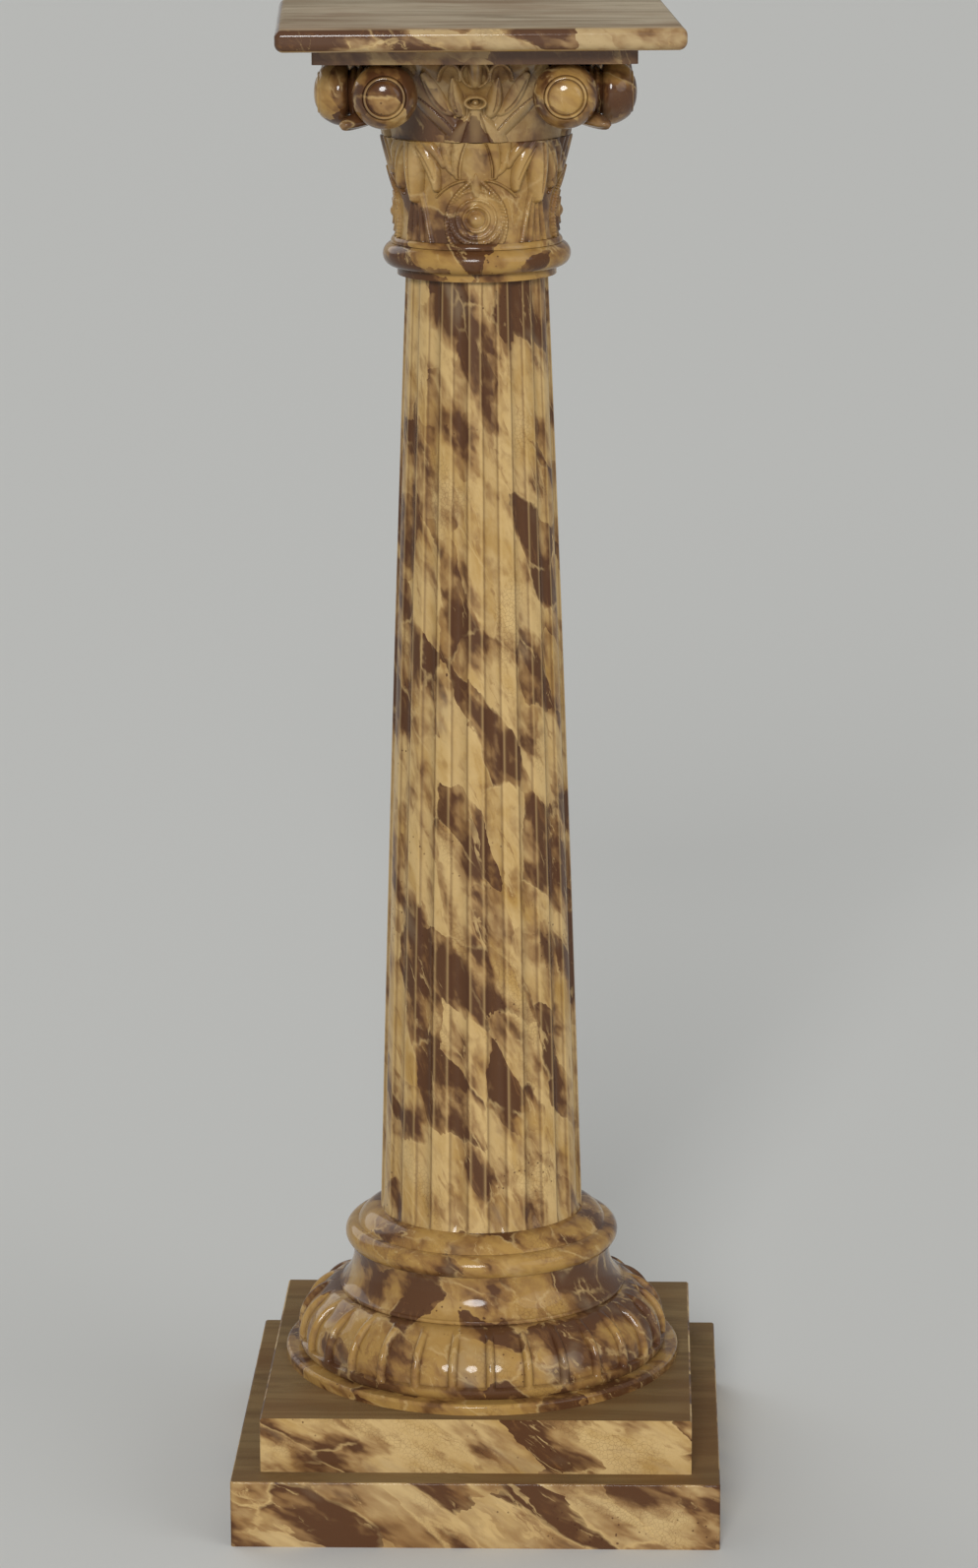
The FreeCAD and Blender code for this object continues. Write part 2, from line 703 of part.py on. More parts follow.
# a rosette in a pointed frame, with a domed tongue over it, in the middle of each face
ROSETTE = f"({BELL} + sizes.rosette_height)"
ROSETTE_TIP = f"({BELL} + sizes.rosette_tip_height)"
TONGUE_FOOT = f"({BLOCK} - sizes.tongue_height)"
SHOULDER = "(sizes.rosette_radius * 0.7)"
rosette_surface = turned("rosette_surface", [
    (BELL_CORE, BELL),
    ("sizes.bell_foot_radius + sizes.rosette_proud", BELL),
    ("sizes.bell_foot_radius + sizes.rosette_proud", f"{BELL} + sizes.bell_straight", f"-{BELL_BEND}"),
    ("sizes.bell_top_radius + sizes.rosette_proud", BLOCK),
    (BELL_CORE, BLOCK),
])
tongue_surface = turned("tongue_surface", [
    (BELL_CORE, TONGUE_FOOT),
    ("sizes.bell_top_radius", TONGUE_FOOT, "sizes.bell_height"),
    ("sizes.bell_top_radius + sizes.tongue_proud / 2", BLOCK),
    (BELL_CORE, BLOCK),
])
rosette_outline = mirrored_outline([
    (SHOULDER, BELL, "sizes.rosette_radius"),
    (SHOULDER, f"{ROSETTE} + {SHOULDER}", "-sizes.rosette_radius"),
    ("0", ROSETTE_TIP),
])
tongue_outline = mirrored_outline([
    ("sizes.tongue_half_width", TONGUE_FOOT),
    ("sizes.tongue_half_width", f"{BLOCK} - sizes.tongue_half_width", "sizes.tongue_half_width"),
    ("0", BLOCK),
])
ROSETTE_FACE = f"(sizes.bell_foot_radius + sizes.rosette_proud - {BELL_CORE})"
RING_RISE = dome_radius("sizes.rosette_ring_half_width", "sizes.rosette_ring_proud")
BOSS_RISE = dome_radius("sizes.rosette_boss_radius", "sizes.rosette_boss_proud")
for side, turn in SIDES:
    button = turned(f"rosette_button_{side}", [
        ("0", "0"),
        ("sizes.rosette_ring_radius + sizes.rosette_ring_half_width", "0"),
        ("sizes.rosette_ring_radius + sizes.rosette_ring_half_width", ROSETTE_FACE, RING_RISE),
        ("sizes.rosette_ring_radius - sizes.rosette_ring_half_width", ROSETTE_FACE),
        ("sizes.rosette_boss_radius", ROSETTE_FACE, BOSS_RISE),
        ("0", f"{ROSETTE_FACE} + sizes.rosette_boss_proud"),
    ])
    placed_on_front(button, ROSETTE, BELL_CORE, turn)
    relief(f"bell_rosette_{side}", rosette_outline, rosette_surface, bell, turn, (button,))
    relief(f"bell_tongue_{side}", tongue_outline, tongue_surface, bell, turn)

# ---------------------------------------------------------------- block that carries the scrolls
block = new_body("capital_block")
BLOCK_BEND = dome_radius("sizes.block_rise", "(sizes.block_top_radius - sizes.block_foot_radius)")
bell_tenon_hole = "sizes.bell_tenon_radius + sizes.joint_gap"
tenon_hole_top = f"{BLOCK} + sizes.bell_tenon_length + sizes.tenon_end_gap"
add_revolution(block, [
    (bell_tenon_hole, BLOCK),
    ("sizes.block_foot_radius", BLOCK, f"-{BLOCK_BEND}"),
    ("sizes.block_top_radius", ABACUS),
    ("sizes.rod_hole_radius", ABACUS),
    ("sizes.rod_hole_radius", tenon_hole_top),
    (bell_tenon_hole, tenon_hole_top),
])
waste = new_sketch(block, "XY_Plane", BLOCK)
closed_outline(waste, square_corners("sizes.block_top_radius * 2"))
closed_outline(waste, square_corners("sizes.block_face"))
add_pocket(block, waste, "sizes.block_rise", upwards=True)
dowel_holes = circles(new_sketch(block, "XY_Plane", ABACUS), four_points("sizes.dowel_spread"),
                      "sizes.dowel_radius")
add_pocket(block, dowel_holes, "sizes.dowel_in_block + sizes.tenon_end_gap", upwards=False)
keep(turn_about_z(block, "sizes.capital_turn"))

# a scroll is a short turned bolster: waist, belt, and a rounded end with a domed boss
END = "(sizes.scroll_reach - sizes.scroll_offset)"
SCROLL_FACE = f"({END} - sizes.boss_proud)"
SCROLL_BACK = f"({END} - sizes.scroll_length)"
BELT_END = f"({SCROLL_BACK} - sizes.belt_gap)"
BELT_START = f"({BELT_END} - sizes.belt_length)"
BELT_BEND = dome_radius("(sizes.belt_length / 2)", "(sizes.belt_radius - sizes.scroll_waist_radius)")
SCROLL_PROFILE = [
    ("0", "0"),
    ("sizes.scroll_waist_radius", "0"),
    ("sizes.scroll_waist_radius", BELT_START, BELT_BEND),
    ("sizes.scroll_waist_radius", BELT_END),
    ("sizes.scroll_waist_radius", SCROLL_BACK),
    ("sizes.scroll_radius - sizes.scroll_round", SCROLL_BACK, "sizes.scroll_round"),
    ("sizes.scroll_radius", f"{SCROLL_BACK} + sizes.scroll_round"),
    ("sizes.scroll_radius", f"{SCROLL_FACE} - sizes.scroll_round", "sizes.scroll_round"),
    ("sizes.scroll_radius - sizes.scroll_round", SCROLL_FACE),
    ("sizes.boss_radius", SCROLL_FACE, dome_radius("sizes.boss_radius", "sizes.boss_proud")),
    ("0", END),
]


def volute(corner, turn):
    """Two scrolls that cross at a corner, one facing each side, seated on the block."""
    scrolls = []
    for index, (axis, across) in enumerate(((Vector(1, 0, 0), "-1"), (Vector(0, 1, 0), "-1"))):
        scroll = turned(f"scroll_{corner}_{index}", SCROLL_PROFILE)
        scroll.Placement = FreeCAD.Placement(Vector(0, 0, 0), Rotation(axis, 90))
        bind(scroll, "Placement.Base.x", "sizes.scroll_offset")
        bind(scroll, "Placement.Base.y", f"{across} * sizes.scroll_offset")
        bind(scroll, "Placement.Base.z", f"{ABACUS} - sizes.scroll_radius")
        scrolls.append(scroll)
    pair = boolean("Part::MultiFuse", f"scroll_pair_{corner}", Shapes=scrolls)
    turn_about_z(pair, f"{turn} + sizes.capital_turn")
    return keep(boolean("Part::Cut", f"volute_{corner}", Base=pair, Tool=block))


# the pair is drawn at the front right corner, which is the first that CORNERS names
for corner, turn in CORNERS:
    volute(corner, turn - CORNERS[0][1])

# a palmette in the middle of each face: stem, knot, spreading leaves and a bud
KNOT = f"({BLOCK} + sizes.palmette_knot_rise)"
BLOCK_CORE = "((sizes.block_foot_radius + sizes.bell_tenon_radius) / 2)"
palmette_surface = turned("palmette_surface", [
    (BLOCK_CORE, BLOCK),
    ("sizes.block_foot_radius + sizes.tongue_proud", BLOCK, "-sizes.block_rise * 1.25"),
    ("sizes.palmette_reach", ABACUS),
    (BLOCK_CORE, ABACUS),
])
palmette_outline = mirrored_outline([
    ("sizes.palmette_stem_half_width", BLOCK),
    ("sizes.palmette_stem_half_width", KNOT, "-sizes.palmette_half_width"),
    ("sizes.palmette_half_width", f"{ABACUS} - sizes.bud_half_height"),
    ("sizes.palmette_half_width * 0.8", ABACUS),
])
for side, turn in SIDES:
    bud = doc.addObject("Part::Ellipsoid", f"palmette_bud_{side}")
    bind(bud, "Radius1", "sizes.bud_half_height")
    bind(bud, "Radius2", "sizes.bud_half_width")
    bind(bud, "Radius3", "sizes.bud_half_width")
    swing = f"({turn} + sizes.capital_turn)"
    turn_about_z(bud, swing)
    reach = "(sizes.palmette_reach - sizes.bud_half_width)"
    bind(bud, "Placement.Base.x", f"{reach} * sin({swing})")
    bind(bud, "Placement.Base.y", f"-{reach} * cos({swing})")
    bind(bud, "Placement.Base.z", f"{BLOCK} + sizes.bud_rise")
    relief(f"palmette_{side}", palmette_outline, palmette_surface, block, turn, (bud,))

# ---------------------------------------------------------------- abacus
abacus = new_body("abacus")
add_pad(abacus, closed_outline(new_sketch(abacus, "XY_Plane", ABACUS),
                               square_corners("sizes.abacus_side / 2")), "sizes.abacus_height")
dress_edges(abacus, "Chamfer", "sizes.abacus_arris", lambda box: box.ZLength > 1)
well = circles(new_sketch(abacus, "XY_Plane", ABACUS), [("0", "0")], "sizes.nut_well_radius")
add_pocket(abacus, well, "sizes.abacus_height", upwards=True)
ways = circles(new_sketch(abacus, "XY_Plane", ABACUS), four_points("sizes.dowel_spread"),
               "sizes.dowel_radius")
add_pocket(abacus, ways, "sizes.abacus_height", upwards=True)
keep(turn_about_z(abacus, "sizes.capital_turn"))

# ---------------------------------------------------------------- top slab
slab = new_body("top_slab")
add_pad(slab, closed_outline(new_sketch(slab, "XY_Plane", SLAB),
                             square_corners("sizes.slab_side / 2")), "sizes.slab_height")
dress_edges(slab, "Fillet", "sizes.slab_corner_round", lambda box: box.ZLength > 1)
dress_edges(slab, "Fillet", "sizes.slab_edge_round", lambda box: box.ZLength < 1)
sunk = new_sketch(slab, "XY_Plane", SLAB)
bind(sunk, "AttachmentOffset.Rotation.Angle", "sizes.capital_turn - sizes.slab_turn")
circles(sunk, four_points("sizes.dowel_spread"), "sizes.dowel_radius")
add_pocket(slab, sunk, "sizes.dowel_in_slab + sizes.tenon_end_gap", upwards=True)
keep(turn_about_z(slab, "sizes.slab_turn"))


def slab_dowel(index):
    """A dowel through the abacus, from the block into the slab."""
    dowel = doc.addObject("Part::Cylinder", f"slab_dowel_{index}")
    bind(dowel, "Radius", "sizes.dowel_radius")
    bind(dowel, "Height", "sizes.dowel_in_block + sizes.abacus_height + sizes.dowel_in_slab")
    corner_angle = f"({90 * index + 45} + sizes.capital_turn)"
    bind(dowel, "Placement.Base.x", f"sizes.dowel_spread * sqrt(2) * cos({corner_angle})")
    bind(dowel, "Placement.Base.y", f"sizes.dowel_spread * sqrt(2) * sin({corner_angle})")
    bind(dowel, "Placement.Base.z", f"{ABACUS} - sizes.dowel_in_block")
    return dowel


keep(group("slab_dowels", [slab_dowel(index) for index in range(4)]))

# ---------------------------------------------------------------- rod, washers and nuts
keep(turned("tie_rod", [
    ("0", ROD_FOOT),
    ("sizes.rod_radius - sizes.rod_point", ROD_FOOT),
    ("sizes.rod_radius", f"{ROD_FOOT} + sizes.rod_point"),
    ("sizes.rod_radius", f"{ROD_TOP} - sizes.rod_point"),
    ("sizes.rod_radius - sizes.rod_point", ROD_TOP),
    ("0", ROD_TOP),
]))


def washer(label, level):
    """A flat washer, slipped over the rod."""
    bore = "sizes.rod_radius + sizes.joint_gap"
    top = f"{level} + sizes.washer_height"
    return keep(turned(label, [(bore, level), ("sizes.washer_radius", level),
                               ("sizes.washer_radius", top), (bore, top)]))


def nut(label, level):
    """A hexagon nut on the rod."""
    hexagon = doc.addObject("Part::Prism", f"{label}_hexagon")
    hexagon.Polygon = 6
    bind(hexagon, "Circumradius", "sizes.nut_across_corners / 2")
    bind(hexagon, "Height", "sizes.nut_height")
    bind(hexagon, "Placement.Base.z", level)
    thread = doc.addObject("Part::Cylinder", f"{label}_thread")
    bind(thread, "Radius", "sizes.rod_radius")
    bind(thread, "Height", "sizes.nut_height")
    bind(thread, "Placement.Base.z", level)
    return keep(boolean("Part::Cut", label, Base=hexagon, Tool=thread))


washer("lower_washer", f"{BOARD} - sizes.washer_height")
nut("lower_nut", f"{BOARD} - sizes.washer_height - sizes.nut_height")
washer("upper_washer", ABACUS)
nut("upper_nut", f"{ABACUS} + sizes.washer_height")

# ---------------------------------------------------------------- check and write
doc.recompute()
for item in doc.Objects:
    if "Invalid" in item.State or "Error" in item.State:
        raise RuntimeError(f"{item.Label} did not build: {item.State}")
for item in nodes:
    if item.Shape.isNull() or not item.Shape.isValid():
        raise RuntimeError(f"{item.Label} has no valid shape")
os.makedirs("parts", exist_ok=True)
for item in nodes:
    item.Shape.exportStep(os.path.join("parts", f"{item.Label}.step"))
print(f"{len(nodes)} pieces written")
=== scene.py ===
import math

import bmesh
import bpy
import numpy as np
from mathutils import Matrix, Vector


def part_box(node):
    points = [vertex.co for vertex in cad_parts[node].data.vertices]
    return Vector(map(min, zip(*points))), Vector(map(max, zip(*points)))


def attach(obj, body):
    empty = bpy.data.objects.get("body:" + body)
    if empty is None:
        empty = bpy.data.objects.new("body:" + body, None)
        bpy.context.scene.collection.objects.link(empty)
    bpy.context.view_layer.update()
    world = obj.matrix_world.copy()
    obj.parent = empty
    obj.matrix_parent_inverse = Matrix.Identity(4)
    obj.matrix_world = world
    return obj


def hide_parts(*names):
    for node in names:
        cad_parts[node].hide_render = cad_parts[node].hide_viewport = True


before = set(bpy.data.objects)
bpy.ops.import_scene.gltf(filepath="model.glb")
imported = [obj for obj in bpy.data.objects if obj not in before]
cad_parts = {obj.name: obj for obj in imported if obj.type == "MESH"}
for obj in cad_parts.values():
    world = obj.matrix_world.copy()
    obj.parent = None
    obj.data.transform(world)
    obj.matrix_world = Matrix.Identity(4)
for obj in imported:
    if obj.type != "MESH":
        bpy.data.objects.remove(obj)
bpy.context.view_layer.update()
scene = bpy.context.scene
MM = 0.001

# ---------------------------------------------------------------- lower plinth
# Four mitred rails of softwood stand on the floor round an open middle.  They are glued at their
# mitres, painted as tortoiseshell under a thick varnish, and left bare underneath.


def shader_node(tree, kind, inputs=None, **settings):
    """One shader node: its settings, and its inputs as values or as sockets to link from."""
    made = tree.nodes.new(f"ShaderNode{kind}")
    for key, value in settings.items():
        setattr(made, key, value)
    for key, value in (inputs or {}).items():
        if isinstance(value, bpy.types.NodeSocket):
            tree.links.new(value, made.inputs[key])
        else:
            made.inputs[key].default_value = value
    return made


def noise(tree, where, scale, detail=2.0, roughness=0.5, distortion=0.0):
    """The grey value of a noise texture, about 0.5 in the middle."""
    made = shader_node(tree, "TexNoise", {
        "Vector": where, "Scale": scale, "Detail": detail, "Roughness": roughness,
        "Distortion": distortion})
    return made.outputs["Fac"]


def sums(tree, operation, first, second=0.0, third=0.0):
    """One step of arithmetic on grey values."""
    made = shader_node(tree, "Math", {0: first, 1: second, 2: third}, operation=operation)
    return made.outputs[0]


def vector_sums(tree, operation, first, second):
    """One step of arithmetic on places."""
    made = shader_node(tree, "VectorMath", {0: first, 1: second}, operation=operation)
    return made.outputs[0]


def ramp(tree, grey, low, high):
    """A smooth step from 0 at the low grey to 1 at the high one, or falling if low is higher."""
    first, last, start, end = (low, high, 0.0, 1.0) if low < high else (high, low, 1.0, 0.0)
    made = shader_node(tree, "MapRange", {
        "Value": grey, "From Min": first, "From Max": last, "To Min": start, "To Max": end},
        interpolation_type="SMOOTHSTEP")
    return made.outputs["Result"]


def blend(tree, share, under, over):
    """The under colour, with the over colour laid on it by a share from 0 to 1."""
    made = shader_node(tree, "Mix", {0: share, 6: under, 7: over}, data_type="RGBA")
    return made.outputs[2]


def new_material(name):
    """An empty node material and its tree."""
    material = bpy.data.materials.new(name)
    material.use_nodes = True
    material.node_tree.nodes.clear()
    return material, material.node_tree


def finish_surface(tree, height, distance, sockets):
    """The shader with its grain raised by a height, and the material's output."""
    bump = shader_node(tree, "Bump", {"Height": height, "Distance": distance, "Strength": 1.0})
    surface = shader_node(tree, "BsdfPrincipled", {"Normal": bump.outputs[0], **sockets})
    shader_node(tree, "OutputMaterial", {"Surface": surface.outputs[0]})


CREAM = (0.560, 0.385, 0.165, 1.0)
OCHRE = (0.400, 0.235, 0.065, 1.0)
UMBER = (0.200, 0.092, 0.030, 1.0)
SEPIA = (0.060, 0.019, 0.008, 1.0)
DUSK = (0.150, 0.082, 0.046, 1.0)
HAZE = (0.370, 0.290, 0.180, 1.0)
BARE = (0.420, 0.270, 0.140, 1.0)


def twisted_place(tree, twist, squeeze, shift):
    """The place on the piece, turned about its axis in step with height and squeezed in height,
    so that an even pattern read there comes out as long patches that lean all one way."""
    place = shader_node(tree, "TexCoord").outputs["Object"]
    height = shader_node(tree, "SeparateXYZ", {0: place}).outputs["Z"]
    turned = shader_node(tree, "VectorRotate", {
        "Vector": place, "Angle": sums(tree, "MULTIPLY", height, twist)}, rotation_type="Z_AXIS")
    squeezed = vector_sums(tree, "MULTIPLY", turned.outputs[0], (1.0, 1.0, squeeze))
    return place, vector_sums(tree, "ADD", squeezed, (shift, shift * 0.7, shift * 0.4))


def cells(tree, where, scale, feature, output):
    """One value of a cell texture: its cells' colours, or the distance to their borders."""
    made = shader_node(tree, "TexVoronoi", {"Vector": where, "Scale": scale}, feature=feature)
    return made.outputs[output]


FLAKE_LEVEL = 0.815
MOSAIC_STEP = 0.24
CROWDING = 0.30
CRAZING = 330.0
SPATTER = 190.0
BRISTLES = 420.0


def flake_field(tree, pattern, warped, size):
    """A grey value that is highest in the flakes: clouds, with a step at each border of a mosaic.
    The clouds alone and the distance to the mosaic's borders come with it."""
    crowd = noise(tree, pattern, size * 0.36, 1.0)
    cloud = noise(tree, warped, size * 0.9, 3.0, 0.58)
    tone = shader_node(tree, "SeparateColor", {
        0: cells(tree, warped, size * 0.8, "F1", "Color")}).outputs[0]
    border = cells(tree, warped, size * 0.8, "DISTANCE_TO_EDGE", "Distance")
    field = sums(tree, "MULTIPLY_ADD", tone, MOSAIC_STEP, cloud)
    return sums(tree, "MULTIPLY_ADD", crowd, CROWDING, field), cloud, border


def paint_ground(tree, warped, size, warmth, haze):
    """Cream that drifts into ochre, washed with umber and dulled by a haze."""
    drift = ramp(tree, noise(tree, warped, size * 0.8, 4.0, 0.6), 0.40 - warmth, 0.72 - warmth)
    ground = blend(tree, drift, CREAM, OCHRE)
    wash = ramp(tree, noise(tree, warped, size * 2.6, 6.0, 0.65), 0.50, 0.78)
    ground = blend(tree, sums(tree, "MULTIPLY", wash, 0.45), ground, UMBER)
    return blend(tree, haze, ground, HAZE)


def veined(tree, colour, pattern, warped, border, size):
    """Pale veins between the flakes, pale wisps and brown smoke dragged across them by the brush,
    and a thin milky veil in places."""
    gap = sums(tree, "MULTIPLY", ramp(tree, border, 0.045, 0.0),
               ramp(tree, noise(tree, pattern, size * 1.1, 2.0), 0.46, 0.60))
    colour = blend(tree, sums(tree, "MULTIPLY", gap, 0.55), colour, CREAM)
    dragged = noise(tree, vector_sums(tree, "MULTIPLY", warped, (1.0, 1.0, 0.25)), size * 4.2, 4.0,
                    0.62, 0.8)
    wisp = sums(tree, "MULTIPLY", ramp(tree, dragged, 0.56, 0.66),
                ramp(tree, noise(tree, pattern, size * 0.8, 2.0), 0.50, 0.60))
    colour = blend(tree, sums(tree, "MULTIPLY", wisp, 0.62), colour, CREAM)
    smoke = sums(tree, "MULTIPLY", ramp(tree, dragged, 0.47, 0.34),
                 ramp(tree, noise(tree, pattern, size * 1.3, 2.0), 0.52, 0.60))
    colour = blend(tree, sums(tree, "MULTIPLY", smoke, 0.5), colour, UMBER)
    veil = ramp(tree, noise(tree, pattern, size * 0.6, 3.0, 0.6), 0.58, 0.80)
    return blend(tree, sums(tree, "MULTIPLY", veil, 0.5), colour, HAZE)


def aged(tree, colour, place, pattern, size):
    """Crazing in patches of the varnish, and a spatter of dark dots; the second value is the
    crazing alone."""
    crazed = ramp(tree, noise(tree, pattern, size * 0.7, 2.0), 0.54, 0.64)
    crack = ramp(tree, cells(tree, place, CRAZING, "DISTANCE_TO_EDGE", "Distance"), 0.05, 0.0)
    crack = sums(tree, "MULTIPLY", crack, crazed)
    colour = blend(tree, sums(tree, "MULTIPLY", crack, 0.32), colour, UMBER)
    dots = ramp(tree, cells(tree, place, SPATTER, "F1", "Distance"), 0.17, 0.10)
    dots = sums(tree, "MULTIPLY", dots, ramp(tree, noise(tree, place, 14.0, 1.0), 0.56, 0.66))
    return blend(tree, sums(tree, "MULTIPLY", dots, 0.8), colour, SEPIA), crack


def tortoiseshell(name, twist, squeeze, size, shift, cover=0.0, warmth=0.0, dusk=0.0, haze=0.0,
                  gloss=0.8, coat_ior=1.33, streaks=None):
    """Marbling in varnish: a cream ground with ochre drifts; over it leaning flakes that are cut
    crisp along some borders and fade on others, from umber to sepia; pale veins and wisps.  Two
    streak colours, where they are given, make the faces that look up plain."""
    material, tree = new_material(name)
    place, pattern = twisted_place(tree, twist, squeeze, shift)
    wander = shader_node(tree, "TexNoise", {
        "Vector": pattern, "Scale": size * 0.9, "Detail": 4.0, "Roughness": 0.62})
    push = vector_sums(tree, "MULTIPLY", wander.outputs["Color"], (0.8 / size,) * 3)
    warped = vector_sums(tree, "ADD", pattern, push)
    field, cloud, border = flake_field(tree, pattern, warped, size)
    above = sums(tree, "SUBTRACT", field, FLAKE_LEVEL - cover)
    halo = sums(tree, "MULTIPLY", ramp(tree, above, -0.13, 0.04), 0.78)
    core = sums(tree, "MULTIPLY", ramp(tree, above, -0.01, 0.10), 0.85)
    colour = blend(tree, halo, paint_ground(tree, warped, size, warmth, haze), UMBER)
    colour = blend(tree, core, colour, SEPIA)
    colour = veined(tree, colour, pattern, warped, border, size)
    colour, crack = aged(tree, colour, place, pattern, size)
    colour = blend(tree, dusk, colour, DUSK)
    # glaze and painted shade lie dark where the carver left a hollow; wear and a painted highlight
    # lie pale on the edges
    glaze_shade_highlight = shader_node(tree, "Attribute", attribute_name="glaze_shade_highlight").outputs["Fac"]
    colour = blend(tree, glaze_shade_highlight, colour, SEPIA)
    colour = blend(tree, sums(tree, "MULTIPLY", glaze_shade_highlight, -1.0), colour, CREAM)
    coat = gloss
    if streaks:
        colour, facing_up = plain_tops(tree, place, colour, *streaks)
        coat = sums(tree, "MULTIPLY", ramp(tree, facing_up, 0.95, 0.75), gloss)
    brush = noise(tree, vector_sums(tree, "MULTIPLY", place, (1.0, 1.0, 0.12)), BRISTLES, 3.0, 0.6)
    relief = sums(tree, "MULTIPLY_ADD", brush, 0.45, sums(tree, "MULTIPLY", cloud, 0.9))
    relief = sums(tree, "SUBTRACT", relief, sums(tree, "MULTIPLY", crack, 0.25))
    finish_surface(tree, relief, 0.0005, {
        "Base Color": colour, "Roughness": 0.5, "Specular IOR Level": 0.06, "Coat Weight": coat,
        "Coat Roughness": 0.09, "Coat IOR": coat_ior})
    return material


def plain_tops(tree, place, colour, light, dark):
    """Faces that look up are brushed plainly, in long streaks from side to side, and faces that
    look down are bare wood; the second value says how far up a face looks."""
    facing = shader_node(tree, "NewGeometry").outputs["Normal"]
    facing_up = shader_node(tree, "SeparateXYZ", {0: facing}).outputs["Z"]
    stretched = vector_sums(tree, "MULTIPLY", place, (5.0, 34.0, 10.0))
    streak = ramp(tree, noise(tree, stretched, 1.0, 7.0, 0.66, 0.8), 0.38, 0.62)
    smear = ramp(tree, noise(tree, place, 9.0, 3.0, 0.6), 0.35, 0.7)
    painted_top = blend(tree, streak, light, dark)
    painted_top = blend(tree, sums(tree, "MULTIPLY", smear, 0.45), painted_top, UMBER)
    colour = blend(tree, ramp(tree, facing_up, 0.75, 0.95), colour, painted_top)
    ring = noise(tree, vector_sums(tree, "MULTIPLY", place, (3.0, 3.0, 90.0)), 6.0, 4.0, 0.6, 0.8)
    wood = blend(tree, ramp(tree, ring, 0.4, 0.6), BARE, OCHRE)
    return blend(tree, ramp(tree, facing_up, -0.7, -0.9), colour, wood), facing_up


def dress(names, material):
    """Give the named construction pieces one finish."""
    for name in names:
        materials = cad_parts[name].data.materials
        materials.clear()
        materials.append(material)


BOARD_STREAKS = ((0.240, 0.160, 0.070, 1.0), (0.160, 0.100, 0.043, 1.0))
plinth_paint = tortoiseshell("plinth_tortoiseshell", 6.5, 1.0, 21.0, 3.1, cover=0.075, haze=0.24,
                             gloss=0.5, streaks=BOARD_STREAKS)
SIDES = ("front", "right", "back", "left")
dress([f"plinth_{side}_rail" for side in SIDES], plinth_paint)

# ---------------------------------------------------------------- glue blocks and dowels
# Three-cornered softwood blocks are rubbed into the rails' inner corners with glue, and beech
# dowels pin the top slab; all are bare wood that never sees paint.
GROWTH_LINE = (0.270, 0.150, 0.066, 1.0)
RING_SCALE = 60.0
PORE_SCALE = 400.0


def bare_wood(name, grain):
    """Unpainted wood: brown growth lines drawn out along the grain, with fine pores."""
    material, tree = new_material(name)
    place = shader_node(tree, "TexCoord").outputs["Object"]
    along = vector_sums(tree, "MULTIPLY", place, grain)
    rings = noise(tree, along, RING_SCALE, 5.0, 0.6, 1.0)
    pores = noise(tree, along, PORE_SCALE, 2.0)
    colour = blend(tree, ramp(tree, rings, 0.38, 0.62), BARE, GROWTH_LINE)
    colour = blend(tree, sums(tree, "MULTIPLY", ramp(tree, pores, 0.6, 0.7), 0.4), colour, UMBER)
    finish_surface(tree, rings, 0.0004, {"Base Color": colour, "Roughness": 0.75})
    return material


dress(["plinth_corner_blocks", "slab_dowels"], bare_wood("bare_softwood", (1.0, 1.0, 0.08)))

# ---------------------------------------------------------------- screws, rod, washers and nuts
# Turned steel screws hold the board to the rails, and one long threaded rod with washers and nuts
# draws the whole column together; the steel is dull from years inside the wood.
STEEL_GREY = (0.42, 0.41, 0.39, 1.0)
STEEL_STAIN = (0.17, 0.10, 0.06, 1.0)
steel, tree = new_material("dull_steel")
place = shader_node(tree, "TexCoord").outputs["Object"]
bloom = noise(tree, place, 130.0, 4.0, 0.6)
scratch = noise(tree, vector_sums(tree, "MULTIPLY", place, (1.0, 1.0, 0.05)), 900.0, 2.0)
finish_surface(tree, scratch, 0.0001, {
    "Base Color": blend(tree, ramp(tree, bloom, 0.5, 0.75), STEEL_GREY, STEEL_STAIN),
    "Roughness": sums(tree, "MULTIPLY_ADD", bloom, 0.4, 0.2), "Metallic": 1.0})
dress(["plinth_screws", "tie_rod", "lower_washer", "lower_nut", "upper_washer", "upper_nut"], steel)

# ---------------------------------------------------------------- upper plinth board
# A thick square board, screwed down to the rails from below and painted as they are.
board_paint = tortoiseshell("board_tortoiseshell", 7.5, 1.0, 25.0, 8.4, cover=0.015, haze=0.10,
                            gloss=0.3, streaks=BOARD_STREAKS)
dress(["upper_plinth_board"], board_paint)

# ---------------------------------------------------------------- round disc and rings
# Lathe-turned mouldings, in a warmer and yellower paint than the shaft: the flat disc on the
# board, the ring under the shaft and the ring round its neck.
ring_paint = tortoiseshell("ring_tortoiseshell", 5.0, 1.3, 31.0, 5.2, cover=0.03, warmth=0.24,
                           dusk=0.06)
dress(["base_disc", "foot_ring", "neck_ring"], ring_paint)

# ---------------------------------------------------------------- gadrooned base
# One turned block: a swelling ovolo with thirty raised ribs left between broad sunk panels, a
# narrow fillet and a hollow band above it.  The carver cut the panels square at their feet.


def bend(start, end, radius, count):
    """Points on the arc of a radius between two ends: it swells to the right of the way from
    start to end for a positive radius, and to the left for a negative one."""
    start, end = np.array(start, float), np.array(end, float)
    way = end - start
    half = np.hypot(*way) / 2
    left = np.array([-way[1], way[0]]) / (2 * half)
    centre = (start + end) / 2 + left * math.copysign(math.sqrt(radius * radius - half * half), radius)
    first, last = (np.arctan2(*(point - centre)[::-1]) for point in (start, end))
    sweep = (last - first + math.pi) % (2 * math.pi) - math.pi
    angle = first + sweep * np.linspace(0, 1, count)
    return centre + abs(radius) * np.stack([np.cos(angle), np.sin(angle)], -1)


